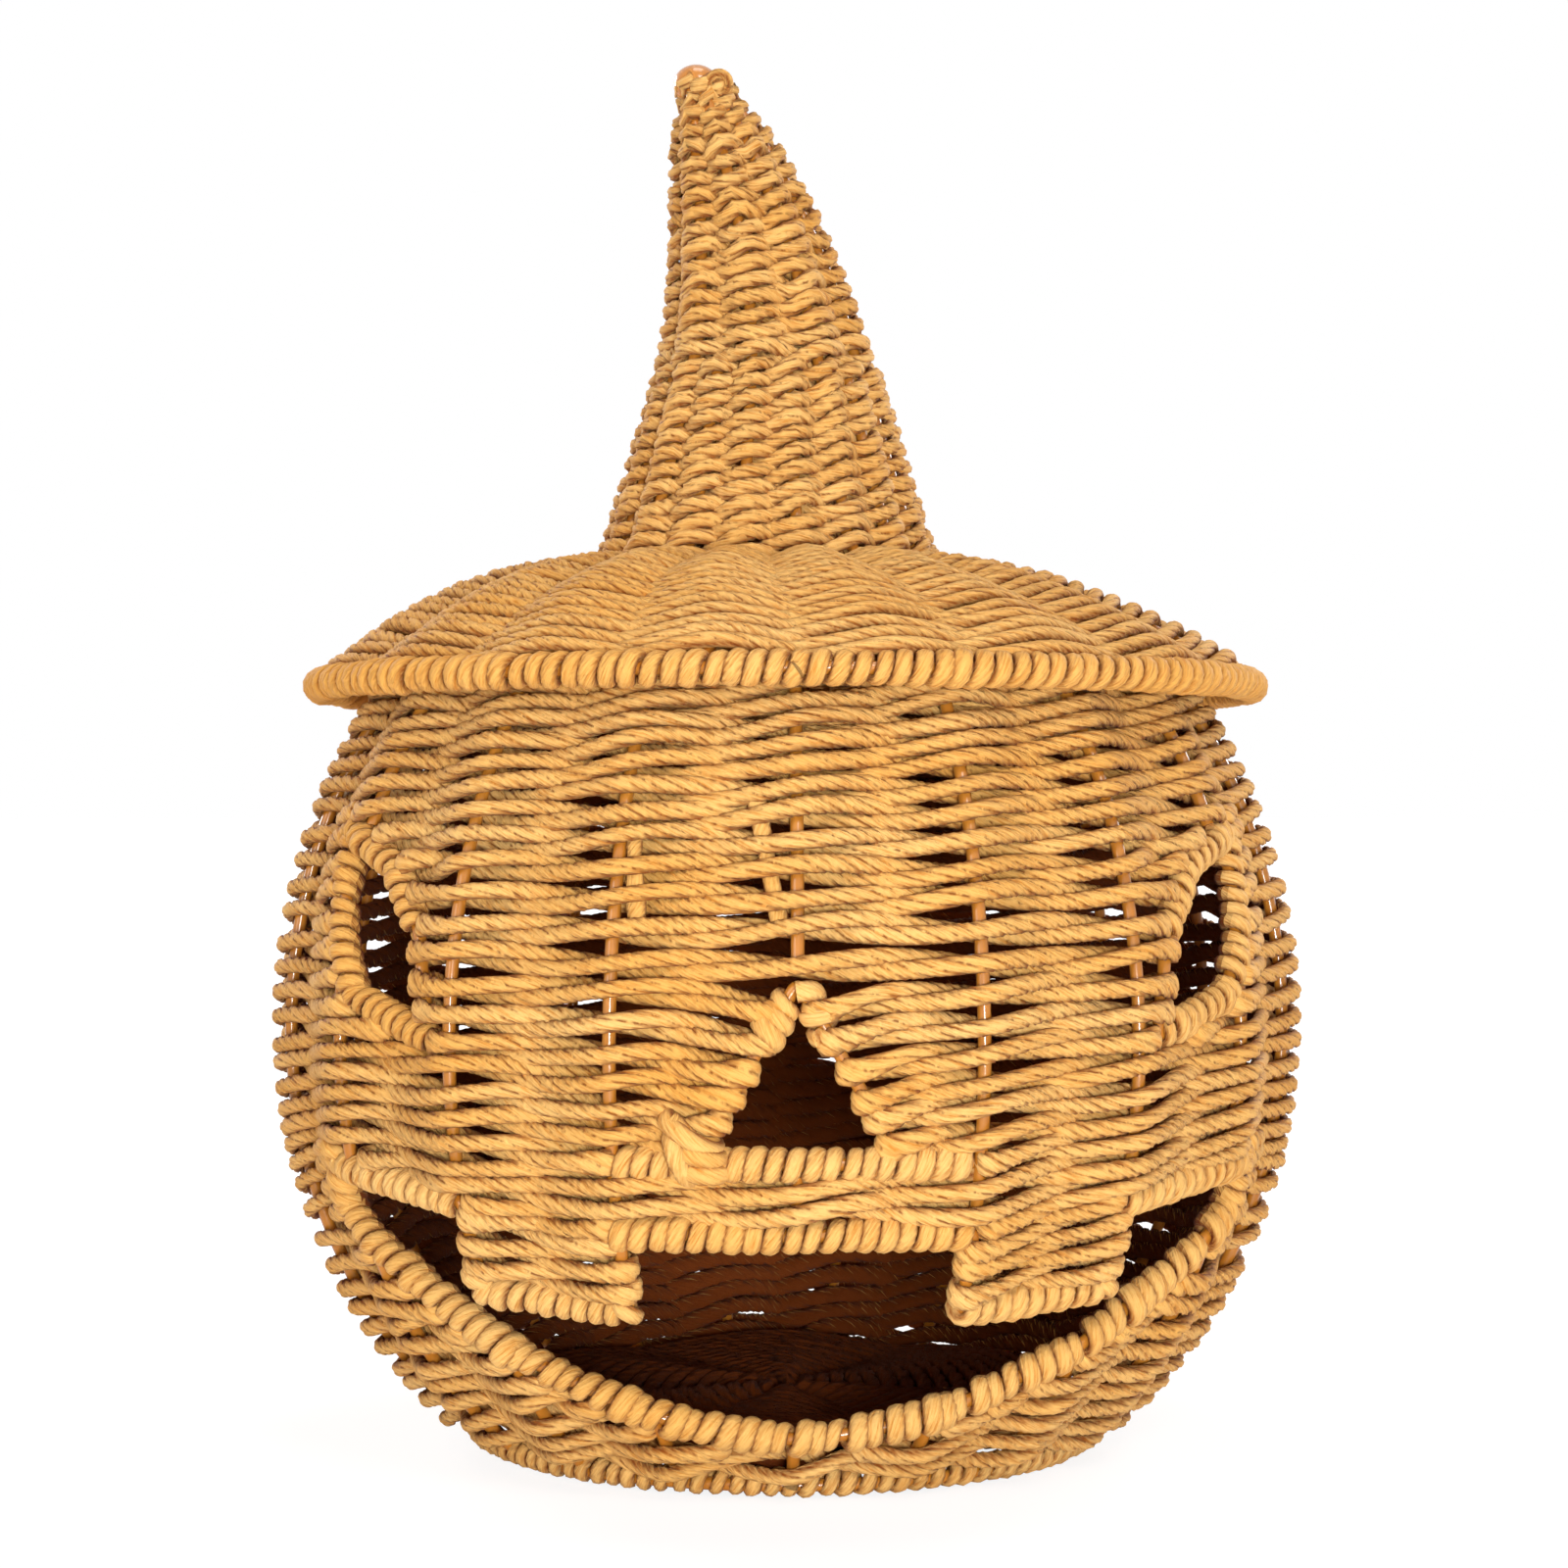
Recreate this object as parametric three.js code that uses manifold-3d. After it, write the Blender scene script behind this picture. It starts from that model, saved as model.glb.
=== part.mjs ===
import * as THREE from 'three';
import { mergeVertices } from 'three/addons/utils/BufferGeometryUtils.js';
import { TessellateModifier } from 'three/addons/modifiers/TessellateModifier.js';
import Module from 'manifold-3d';

// A woven jack-o'-lantern basket of twisted paper cord on a welded wire frame, with a lift-off
// lid shaped like a pointed hat. Millimetres, +Z up. The origin is the centre of the foot, on the
// surface that the basket stands on. The face looks along -Y and the hat bends towards -X.
// Angles are in degrees round the axis, from the front (-Y) towards +X.

const wasm = await Module();
wasm.setup();

// Wire, cord and clearance
const WIRE = 3;
const GAP = 0.3;
const WEAVE_PASS = 3.2;
const WIRE_SIDES = 5;

// Wall: an oval on the ribs' centre line, widest at the belly
const RIB_COUNT = 19;
const BELLY_RADIUS = 123.6;
const BELLY_HEIGHT = 104;
const BELLY_TO_BOTTOM = 128.5;
const BELLY_TO_TOP = 135;
const RIB_FOOT_HEIGHT = 5.35;
const RIB_NECK_HEIGHT = 184;
const WALL_STEPS = 7;

// How far the cord wound round the foot, the neck, the brim and the face wires stands out from them
const FOOT_CORD = 2.2;
const NECK_CORD = 2.4;
const BRIM_CORD = 2.15;
const FACE_CORD = 2.5;
const RING_STEPS = 2 * RIB_COUNT;
const WEAVE_FROM_RING = 1.6;

// Floor
const FLOOR_HEIGHT = 8.8;
const FLOOR_SPOKES = 6;
const FLOOR_RING_RADIUS = 40;
const FLOOR_RING_STEPS = 24;
const FLOOR_TOP_MARGIN = 2;

// Face: each corner is an angle and a height on the wall, given for the +X side. The height of an
// eye's corner is a share of the wall between the corner of the mouth and the neck. The eye's point
// stands clear of the second rib by its bent winding, which reaches past the bend.
const NOSE_HALF_ANGLE = 9.35;
const NOSE_BAR_HEIGHT = 80.5;
const NOSE_APEX_HEIGHT = 120.5;
const LIP_HEIGHT = 65;
const TOOTH_INNER_HEIGHT = 47;
const TOOTH_OUTER_HEIGHT = 49.5;
const CHEEK_HEIGHT = 69.5;
const MOUTH_CORNER = [60.5, 74.5];
const LOWER_LIP_HEIGHT = 16;
const LOWER_LIP_RISE = 48;
const LOWER_LIP_HALF_ANGLE = 61.7;
const LOWER_LIP_POWER = 1.9;
const EYE_TOP_CORNER = [61.5, 0.6986];
const EYE_UPPER_CORNER = [50, 0.6256];
const EYE_INNER_CORNER = [44, 0.4977];
const EYE_POINT_SHARE = 0.3059;
const EYE_POINT_BEND = 1.2225;
const EYE_OUTER_FOOT_CORNER = [53.5, 0.3744];
const EYE_OUTER_CORNER = [57.8, 0.5297];
const LIP_STEPS = 18;
const SLANT = 0.2;

// Lid: a shallow brim dome under a peak, on the centre line of its wires
const LID_WIRES = 18;
const LID_WIRE_ANGLE = 10;
const BRIM_OVERHANG = 14.99;
const CROWN_RADIUS = 42;
const DOME_RISE = 26;
const DOME_POWER = 1.9;
const BRIM_STEPS = 4;
const BRIM_STEP_POWER = 1.25;
const CROWN_RING_ANGLE = 232;
const CROWN_RING_CLEARANCE = 0.9;
const PEAK_RISE = 7;
const PEAK_RADII = [37.6, 28.7, 22.6, 15.9, 10.7, 5.6];
const PEAK_RISES = [0, 30, 50, 79, 99, 113];
const TIP_RADIUS = 5.8;
const TIP_HEIGHT = 5;
const TIP_RISE = 9.2;
const TIP_WIRE_RADIUS = 3.8;
const TIP_STEPS = 12;
const PEAK_TOP_MARGIN = 1;
const INNER_PEAK_CUT = 12;
const CROWN_SHIFT = 4.5;
const PEAK_LEAN = 18;
const LEAN_START = 41;
const LEAN_POWER = 1.8;

// Fineness of the shapes
const FACE_STEP = 16;
const SHORTEST_STEP = 2.5;
const LONGEST_MITRE = 2.5;
const CUTTER_STEP = 24;
const CUTTER_ROUNDS = 12;
const CLIP_MARGIN = 1;
const MERGE_DISTANCE = 1e-4;

// Finishes
const CORD = { color: 0xdca35b, roughness: 0.86, metalness: 0 };
const COATED_WIRE = { color: 0xb97a3c, roughness: 0.32, metalness: 0.1 };

const INNER_FACE = WIRE / 2 + GAP;
const OUTER_FACE = INNER_FACE + WEAVE_PASS;
const WIRE_REACH = WIRE + GAP;
const FOOT_WRAP = WIRE / 2 + FOOT_CORD;
const NECK_WRAP = WIRE / 2 + NECK_CORD;
const BRIM_WRAP = WIRE / 2 + BRIM_CORD;
const FACE_WRAP = WIRE / 2 + FACE_CORD;
const RIB_PITCH = 360 / RIB_COUNT;
const radians = THREE.MathUtils.degToRad;

const basket = new THREE.Group();
const lid = new THREE.Group();

function addPiece(group, name, geometry, finish) {
  const mesh = new THREE.Mesh(geometry, new THREE.MeshStandardMaterial(finish));
  mesh.name = name;
  group.add(mesh);
}

// Merges shared corners and turns the faces outwards.
function closedBody(geometry) {
  geometry.deleteAttribute('normal');
  geometry.deleteAttribute('uv');
  const body = mergeVertices(geometry, MERGE_DISTANCE);
  const index = body.index.array;
  const corner = (i) => new THREE.Vector3().fromBufferAttribute(body.attributes.position, index[i]);
  let volume = 0;
  for (let i = 0; i < index.length; i += 3) {
    volume += corner(i).dot(corner(i + 1).cross(corner(i + 2)));
  }
  if (volume < 0) {
    for (let i = 0; i < index.length; i += 3) {
      [index[i + 1], index[i + 2]] = [index[i + 2], index[i + 1]];
    }
  }
  return body;
}

function toSolid(geometry) {
  const body = closedBody(geometry);
  return new wasm.Manifold(new wasm.Mesh({
    numProp: 3,
    vertProperties: new Float32Array(body.attributes.position.array),
    triVerts: new Uint32Array(body.index.array),
  }));
}

function fromSolid(solid) {
  const mesh = solid.getMesh();
  const geometry = new THREE.BufferGeometry();
  geometry.setAttribute('position', new THREE.BufferAttribute(mesh.vertProperties, 3));
  geometry.setIndex(new THREE.BufferAttribute(mesh.triVerts, 1));
  return geometry;
}

function weld(geometries) {
  const solids = geometries.map(toSolid);
  return fromSolid(solids.reduce((whole, solid) => whole.add(solid)));
}

// Profiles: lists of (radius, height) points

function segmentNormal(from, to) {
  const along = to.clone().sub(from).normalize();
  return new THREE.Vector2(along.y, -along.x);
}

// The outward direction at each point, lengthened at bends so that an offset keeps its distance.
function profileNormals(profile) {
  return profile.map((point, i) => {
    const before = i > 0 ? segmentNormal(profile[i - 1], point) : null;
    const after = i < profile.length - 1 ? segmentNormal(point, profile[i + 1]) : null;
    if (!before || !after) {
      return before || after;
    }
    const middle = before.clone().add(after).normalize();
    return middle.divideScalar(middle.dot(before));
  });
}

function offsetProfile(profile, distance) {
  const normals = profileNormals(profile);
  return profile.map((point, i) => point.clone().addScaledVector(normals[i], distance));
}

function trimProfile(profile, start, end) {
  const trimmed = profile.map((point) => point.clone());
  const last = profile.length - 1;
  const inwards = (at, next, distance) => {
    const along = profile[next].clone().sub(profile[at]).normalize();
    trimmed[at].addScaledVector(along, distance);
  };
  inwards(0, 1, start);
  inwards(last, last - 1, end);
  return trimmed;
}

function heightOn(profile, height) {
  let i = 0;
  while (i < profile.length - 2 && profile[i + 1].y < height) {
    i += 1;
  }
  return { i, share: (height - profile[i].y) / (profile[i + 1].y - profile[i].y) };
}

function clipProfile(profile, low, high) {
  const cut = (height) => {
    const { i, share } = heightOn(profile, height);
    return profile[i].clone().lerp(profile[i + 1], share);
  };
  const inside = (point) => point.y > low + CLIP_MARGIN && point.y < high - CLIP_MARGIN;
  const between = profile.filter(inside);
  return [cut(low), ...between, cut(high)];
}

// Where a ring's centre lies beyond the end of the wires that are welded to it.
function ringBeyond(end, before) {
  const along = end.clone().sub(before).normalize();
  return end.clone().addScaledVector(along, WIRE_REACH);
}

// Bodies turned round the axis

function revolve(points, steps, startAngle = 0) {
  const ring = [...points, points[0].clone()];
  const geometry = new THREE.LatheGeometry(ring, steps, radians(startAngle));
  geometry.rotateX(Math.PI / 2);
  return geometry;
}

function weaveShell(profile, inner, outer, steps, startAngle) {
  const inside = offsetProfile(profile, inner);
  const outside = offsetProfile(profile, outer);
  return revolve([...inside, ...outside.reverse()], steps, startAngle);
}

function circlePoints(radius, count) {
  return Array.from({ length: count }, (_, i) => {
    const angle = (2 * Math.PI * i) / count;
    return new THREE.Vector2(radius * Math.cos(angle), radius * Math.sin(angle));
  });
}

// Section of a cord winding round a wire: round, with a slot where other wires join that wire.
function woundSection(radius, slotAngle) {
  const outerSteps = 6;
  const innerSteps = 3;
  const bore = INNER_FACE / Math.cos(Math.PI / (2 * innerSteps));
  const lip = Math.asin(bore / radius);
  const points = [];
  for (let i = 0; i <= outerSteps; i += 1) {
    const angle = slotAngle + lip + ((2 * Math.PI - 2 * lip) * i) / outerSteps;
    points.push(new THREE.Vector2(radius * Math.cos(angle), radius * Math.sin(angle)));
  }
  for (let i = 0; i <= innerSteps; i += 1) {
    const angle = slotAngle + 1.5 * Math.PI - (Math.PI * i) / innerSteps;
    points.push(new THREE.Vector2(bore * Math.cos(angle), bore * Math.sin(angle)));
  }
  return points;
}

function wireRing(centre, steps) {
  return revolve(circlePoints(WIRE / 2, WIRE_SIDES).map((p) => p.add(centre)), steps);
}

// Cuts a closed outline off at height zero, where the basket stands on it.
function flatBelow(points) {
  const kept = [];
  points.forEach((point, i) => {
    const next = points[(i + 1) % points.length];
    if (point.y > 0) {
      kept.push(point);
    }
    if ((point.y > 0) !== (next.y > 0)) {
      kept.push(point.clone().lerp(next, point.y / (point.y - next.y)));
    }
  });
  return kept;
}

function woundRing(centre, wireEnd, radius, steps) {
  const slotAngle = Math.atan2(wireEnd.y - centre.y, wireEnd.x - centre.x);
  const section = woundSection(radius, slotAngle).map((p) => p.add(centre));
  return revolve(flatBelow(section), steps);
}

// Bodies drawn along a path. A station is a point with the two directions of the section there.

class StationPath extends THREE.Curve {
  constructor(stations) {
    super();
    this.stations = stations;
  }

  getSpacedPoints() {
    return this.stations.map((station) => station.point);
  }

  computeFrenetFrames() {
    return {
      tangents: [],
      normals: this.stations.map((station) => station.across),
      binormals: this.stations.map((station) => station.out),
    };
  }
}

function drawAlong(stations, section) {
  return new THREE.ExtrudeGeometry(new THREE.Shape(section), {
    extrudePath: new StationPath(stations),
    steps: stations.length - 1,
  });
}

const wireSection = circlePoints(WIRE / 2, WIRE_SIDES);

function turned(angle, point) {
  const a = radians(angle);
  return new THREE.Vector3(point.x * Math.sin(a), -point.x * Math.cos(a), point.y);
}

function meridianWire(profile, angle) {
  const normals = profileNormals(profile);
  const a = radians(angle);
  const across = new THREE.Vector3(Math.cos(a), Math.sin(a), 0);
  const stations = profile.map((point, i) => ({
    point: turned(angle, point),
    across,
    out: turned(angle, normals[i]),
  }));
  return drawAlong(stations, wireSection);
}

// Wall surface: straight between neighbouring ribs, as the cord lies

const wall = Array.from({ length: WALL_STEPS + 1 }, (_, i) => {
  const low = Math.asin((RIB_FOOT_HEIGHT - BELLY_HEIGHT) / BELLY_TO_BOTTOM);
  const high = Math.asin((RIB_NECK_HEIGHT - BELLY_HEIGHT) / BELLY_TO_TOP);
  const turn = low + ((high - low) * i) / WALL_STEPS;
  const half = turn < 0 ? BELLY_TO_BOTTOM : BELLY_TO_TOP;
  return new THREE.Vector2(BELLY_RADIUS * Math.cos(turn), BELLY_HEIGHT + half * Math.sin(turn));
});
const wallNormals = profileNormals(wall);

function wallPoint(angle, height, distance = 0) {
  const { i, share } = heightOn(wall, height);
  const from = wall[i].clone().addScaledVector(wallNormals[i], distance);
  const to = wall[i + 1].clone().addScaledVector(wallNormals[i + 1], distance);
  const point = from.lerp(to, share);
  const fromMiddle = THREE.MathUtils.euclideanModulo(angle, RIB_PITCH) - RIB_PITCH / 2;
  point.x *= Math.cos(radians(RIB_PITCH / 2)) / Math.cos(radians(fromMiddle));
  return turned(angle, point);
}

// Splits a path of wall corners where it crosses a rib or a bend of the wall, and at long steps.
function splitOnWall(corners) {
  const points = [];
  for (let k = 0; k < corners.length - 1; k += 1) {
    const [a0, h0] = corners[k];
    const [a1, h1] = corners[k + 1];
    const length = wallPoint(a0, h0).distanceTo(wallPoint(a1, h1));
    const shares = [];
    const pieces = Math.ceil(length / FACE_STEP);
    for (let i = 1; i < pieces; i += 1) {
      shares.push(i / pieces);
    }
    for (let rib = -RIB_COUNT; rib <= RIB_COUNT; rib += 1) {
      shares.push((rib * RIB_PITCH - a0) / (a1 - a0));
    }
    wall.forEach((level) => shares.push((level.y - h0) / (h1 - h0)));
    const margin = SHORTEST_STEP / length;
    const kept = [0];
    shares.filter((s) => s > margin && s < 1 - margin).sort((s, t) => s - t).forEach((s) => {
      if (s - kept[kept.length - 1] > margin) {
        kept.push(s);
      }
    });
    kept.forEach((s) => points.push([a0 + (a1 - a0) * s, h0 + (h1 - h0) * s]));
  }
  points.push(corners[corners.length - 1]);
  return points;
}

function wallStations(corners, closed = false) {
  const path = splitOnWall(closed ? [...corners, corners[0]] : corners);
  if (closed) {
    path.pop();
  }
  const points = path.map(([angle, height]) => wallPoint(angle, height));
  const count = points.length;
  const side = (from, to, out) => {
    const along = points[to].clone().sub(points[from]);
    return out.clone().cross(along).normalize();
  };
  return points.map((point, i) => {
    const [angle, height] = path[i];
    const out = wallPoint(angle, height, 1).sub(wallPoint(angle, height)).normalize();
    const previous = closed ? (i + count - 1) % count : i - 1;
    const next = closed ? (i + 1) % count : i + 1;
    const before = previous >= 0 ? side(previous, i, out) : side(i, next, out);
    const after = next < count ? side(i, next, out) : before;
    const across = before.clone().add(after).normalize();
    across.divideScalar(Math.max(across.dot(before), 1 / LONGEST_MITRE));
    return { point, across, out };
  });
}

function faceWire(corners) {
  return drawAlong(wallStations(corners), wireSection);
}

// The slot of a face winding is on the left of its path, seen from outside, where the weave is.
function faceWrap(corners) {
  return drawAlong(wallStations(corners), woundSection(FACE_WRAP, 0));
}

// A body that covers an outline on the wall, widened by the winding round its edge.
function wallCutter(corners, margin = FACE_WRAP + 2 * GAP) {
  const outline = wallStations(corners, true).map(({ point, across }) => {
    const edge = point.clone().addScaledVector(across, margin);
    return new THREE.Vector2(Math.atan2(edge.x, -edge.y) * BELLY_RADIUS, edge.z);
  });
  const depth = 2 * (OUTER_FACE + WEAVE_PASS);
  const slab = new THREE.ExtrudeGeometry(new THREE.Shape(outline), { depth, bevelEnabled: false });
  const fine = new TessellateModifier(CUTTER_STEP, CUTTER_ROUNDS).modify(slab);
  const positions = fine.attributes.position;
  for (let i = 0; i < positions.count; i += 1) {
    const angle = THREE.MathUtils.radToDeg(positions.getX(i) / BELLY_RADIUS);
    const point = wallPoint(angle, positions.getY(i), positions.getZ(i) - depth / 2);
    positions.setXYZ(i, point.x, point.y, point.z);
  }
  return toSolid(fine);
}

const mirrored = (corners) => corners.map(([angle, height]) => [-angle, height]).reverse();
const degreesAcross = (distance, height) => {
  return THREE.MathUtils.radToDeg(distance / Math.abs(wallPoint(0, height).y));
};

// Face outlines

const RIB_1 = RIB_PITCH;
const RIB_2 = 2 * RIB_PITCH;
const RIB_3 = 3 * RIB_PITCH;
const [CORNER_ANGLE, CORNER_HEIGHT] = MOUTH_CORNER;

const cheekLine = (angle) => {
  const share = (angle - RIB_2) / (CORNER_ANGLE - RIB_2);
  return CHEEK_HEIGHT + (CORNER_HEIGHT - CHEEK_HEIGHT) * share;
};
const lowerLipLine = (angle) => {
  const share = Math.abs(angle) / LOWER_LIP_HALF_ANGLE;
  return LOWER_LIP_HEIGHT + LOWER_LIP_RISE * share ** LOWER_LIP_POWER;
};

const besideRib = degreesAcross(WIRE_REACH / 2 + GAP / 2, LIP_HEIGHT);
const cheekEnd = CORNER_ANGLE - degreesAcross(FACE_WRAP + 2 * GAP, CORNER_HEIGHT);

const upperMouthRight = [
  [RIB_1, LIP_HEIGHT],
  [RIB_1, TOOTH_INNER_HEIGHT],
  [RIB_2, TOOTH_OUTER_HEIGHT],
  [RIB_2, CHEEK_HEIGHT],
];
const upperMouth = [...mirrored(upperMouthRight), ...upperMouthRight];
const upperMouthEdge = [
  [-cheekEnd, cheekLine(cheekEnd)],
  ...upperMouth,
  [cheekEnd, cheekLine(cheekEnd)],
];
const lipCurve = Array.from({ length: LIP_STEPS + 1 }, (_, i) => {
  const angle = LOWER_LIP_HALF_ANGLE * (1 - (2 * i) / LIP_STEPS);
  return [angle, lowerLipLine(angle)];
});
const lipTop = CORNER_HEIGHT + FACE_WRAP - GAP;
const lowerLipPath = [[CORNER_ANGLE, lipTop], ...lipCurve, [-CORNER_ANGLE, lipTop]];
const mouthOutline = [
  [-CORNER_ANGLE, CORNER_HEIGHT],
  ...upperMouth,
  [CORNER_ANGLE, CORNER_HEIGHT],
  ...lipCurve,
];

const noseRise = NOSE_APEX_HEIGHT - NOSE_BAR_HEIGHT;
const noseRun = radians(NOSE_HALF_ANGLE) * BELLY_RADIUS;
const noseSlant = noseRun / Math.hypot(noseRun, noseRise);
const noseFoot = NOSE_BAR_HEIGHT + FACE_WRAP * (1 + noseSlant) + 2 * GAP;
const noseFootAngle = (NOSE_HALF_ANGLE * (NOSE_APEX_HEIGHT - noseFoot)) / noseRise;
const nosePath = [[-noseFootAngle, noseFoot], [0, NOSE_APEX_HEIGHT], [noseFootAngle, noseFoot]];
const noseOutline = [
  [-NOSE_HALF_ANGLE, NOSE_BAR_HEIGHT],
  [0, NOSE_APEX_HEIGHT],
  [NOSE_HALF_ANGLE, NOSE_BAR_HEIGHT],
];
const noseBarEnd = RIB_1 - besideRib;
const noseBarPath = [[noseBarEnd, NOSE_BAR_HEIGHT], [-noseBarEnd, NOSE_BAR_HEIGHT]];
const barCut = FACE_WRAP + 2 * GAP;
const noseBarOutline = [
  [-noseBarEnd, NOSE_BAR_HEIGHT - barCut],
  [-noseBarEnd, NOSE_BAR_HEIGHT + barCut],
  [noseBarEnd, NOSE_BAR_HEIGHT + barCut],
  [noseBarEnd, NOSE_BAR_HEIGHT - barCut],
];

const onEyeLevel = ([angle, share]) => {
  return [angle, CORNER_HEIGHT + share * (RIB_NECK_HEIGHT - CORNER_HEIGHT)];
};
const EYE_TOP = onEyeLevel(EYE_TOP_CORNER);
const EYE_UPPER = onEyeLevel(EYE_UPPER_CORNER);
const EYE_INNER = onEyeLevel(EYE_INNER_CORNER);
const EYE_OUTER_FOOT = onEyeLevel(EYE_OUTER_FOOT_CORNER);
const EYE_OUTER = onEyeLevel(EYE_OUTER_CORNER);
const [, eyePointHeight] = onEyeLevel([RIB_2, EYE_POINT_SHARE]);
const eyePointReach = EYE_POINT_BEND * FACE_WRAP + GAP + WIRE / 2;
const EYE_POINT = [RIB_2 + degreesAcross(eyePointReach, eyePointHeight), eyePointHeight];
const eyeRight = [EYE_TOP, EYE_OUTER, EYE_OUTER_FOOT, EYE_POINT, EYE_INNER, EYE_UPPER];
const seamShare = GAP / wallPoint(...EYE_OUTER).distanceTo(wallPoint(...EYE_OUTER_FOOT));
const onOuterEdge = (share) => EYE_OUTER.map((v, i) => v + (EYE_OUTER_FOOT[i] - v) * share);
const eyeRightPath = [
  onOuterEdge(0.5 + seamShare),
  EYE_OUTER_FOOT,
  EYE_POINT,
  EYE_INNER,
  EYE_UPPER,
  EYE_TOP,
  EYE_OUTER,
  onOuterEdge(0.5),
];

// Foot, neck and floor

const footRing = ringBeyond(wall[0], wall[1]);
const neckRing = ringBeyond(wall[WALL_STEPS], wall[WALL_STEPS - 1]);

// A rib ends clear of the face wire that it meets, outside the winding where it meets at a slant.
function clearOfWire(slope) {
  const reach = Math.abs(slope) < SLANT ? WIRE / 2 : FACE_WRAP;
  return (reach + GAP) * Math.hypot(1, slope) + (WIRE / 2) * Math.abs(slope);
}

function slopeOf(line, angle) {
  const rise = line(angle + 0.5) - line(angle - 0.5);
  const run = wallPoint(angle + 0.5, line(angle)).distanceTo(wallPoint(angle - 0.5, line(angle)));
  return rise / run;
}

const stubs = [-3, -2, -1, 0, 1, 2, 3].map((rib) => {
  const angle = rib * RIB_PITCH;
  const top = lowerLipLine(angle) - clearOfWire(slopeOf(lowerLipLine, angle));
  return meridianWire([footRing, ...clipProfile(wall, wall[0].y, top)], angle);
});
addPiece(basket, 'foot_frame', weld([wireRing(footRing, RING_STEPS), ...stubs]), COATED_WIRE);
const footWrap = woundRing(footRing, wall[0], FOOT_WRAP, RING_STEPS);
addPiece(basket, 'foot_ring_wrap', closedBody(footWrap), CORD);
addPiece(basket, 'neck_ring_wire', closedBody(wireRing(neckRing, RING_STEPS)), COATED_WIRE);
const neckWrap = woundRing(neckRing, wall[WALL_STEPS], NECK_WRAP, RING_STEPS);
addPiece(basket, 'neck_ring_wrap', closedBody(neckWrap), CORD);

const floorUnderRadius = footRing.x - FOOT_WRAP - GAP;
const floorTopRadius = footRing.x - FLOOR_TOP_MARGIN;
const floorRods = Array.from({ length: FLOOR_SPOKES / 2 }, (_, i) => {
  const rod = new THREE.CylinderGeometry(WIRE / 2, WIRE / 2, 2 * floorTopRadius, WIRE_SIDES);
  rod.rotateZ(Math.PI / 2);
  rod.rotateZ(radians((360 / FLOOR_SPOKES) * (i + 0.5)));
  rod.translate(0, 0, FLOOR_HEIGHT);
  return rod;
});
const floorRingCentre = new THREE.Vector2(FLOOR_RING_RADIUS, FLOOR_HEIGHT);
const floorFrame = weld([wireRing(floorRingCentre, FLOOR_RING_STEPS), ...floorRods]);
addPiece(basket, 'floor_frame', floorFrame, COATED_WIRE);

function floorLayer(radius, offset) {
  const disc = new THREE.CylinderGeometry(radius, radius, WEAVE_PASS, RING_STEPS);
  disc.rotateX(Math.PI / 2);
  disc.translate(0, 0, FLOOR_HEIGHT + offset);
  return closedBody(disc);
}
const layerCentre = INNER_FACE + WEAVE_PASS / 2;
addPiece(basket, 'floor_weave_top', floorLayer(floorTopRadius, layerCentre), CORD);
addPiece(basket, 'floor_weave_under', floorLayer(floorUnderRadius, -layerCentre), CORD);

// Ribs: those that meet the face stop at its wires

const eyeTopLine = (angle) => {
  const share = (angle - EYE_UPPER[0]) / (EYE_TOP[0] - EYE_UPPER[0]);
  return EYE_UPPER[1] + (EYE_TOP[1] - EYE_UPPER[1]) * share;
};
const eyeOuterLine = (angle) => {
  const share = (angle - EYE_OUTER_FOOT[0]) / (EYE_OUTER[0] - EYE_OUTER_FOOT[0]);
  return EYE_OUTER_FOOT[1] + (EYE_OUTER[1] - EYE_OUTER_FOOT[1]) * share;
};
const above = (line, angle) => line(angle) + clearOfWire(slopeOf(line, angle));
const below = (line, angle) => line(angle) - clearOfWire(slopeOf(line, angle));
const bendReach = WIRE + 2 * GAP;
const ribTop = wall[WALL_STEPS].y;
const ribFoot = wall[0].y;

const ribStarts = [
  NOSE_APEX_HEIGHT + bendReach,
  LIP_HEIGHT + bendReach,
  CHEEK_HEIGHT + bendReach,
  above(eyeTopLine, RIB_3),
];

function addRib(name, angle, low, high) {
  const rib = meridianWire(clipProfile(wall, low, high), angle);
  addPiece(basket, name, closedBody(rib), COATED_WIRE);
}

addRib('rib_front', 0, ribStarts[0], ribTop);
addRib('rib_front_under_nose', 0, LIP_HEIGHT + INNER_FACE, NOSE_BAR_HEIGHT - INNER_FACE);
for (let rib = 1; rib <= (RIB_COUNT - 1) / 2; rib += 1) {
  const low = rib < ribStarts.length ? ribStarts[rib] : ribFoot;
  addRib(`rib_right_${rib}`, rib * RIB_PITCH, low, ribTop);
  addRib(`rib_left_${rib}`, -rib * RIB_PITCH, low, ribTop);
}
const cheekRib = [above(cheekLine, RIB_3), below(eyeOuterLine, RIB_3)];
addRib('rib_right_3_cheek', RIB_3, ...cheekRib);
addRib('rib_left_3_cheek', -RIB_3, ...cheekRib);

// Wall weave: one pass of cord outside the ribs and one inside, cut open at the face

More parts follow.
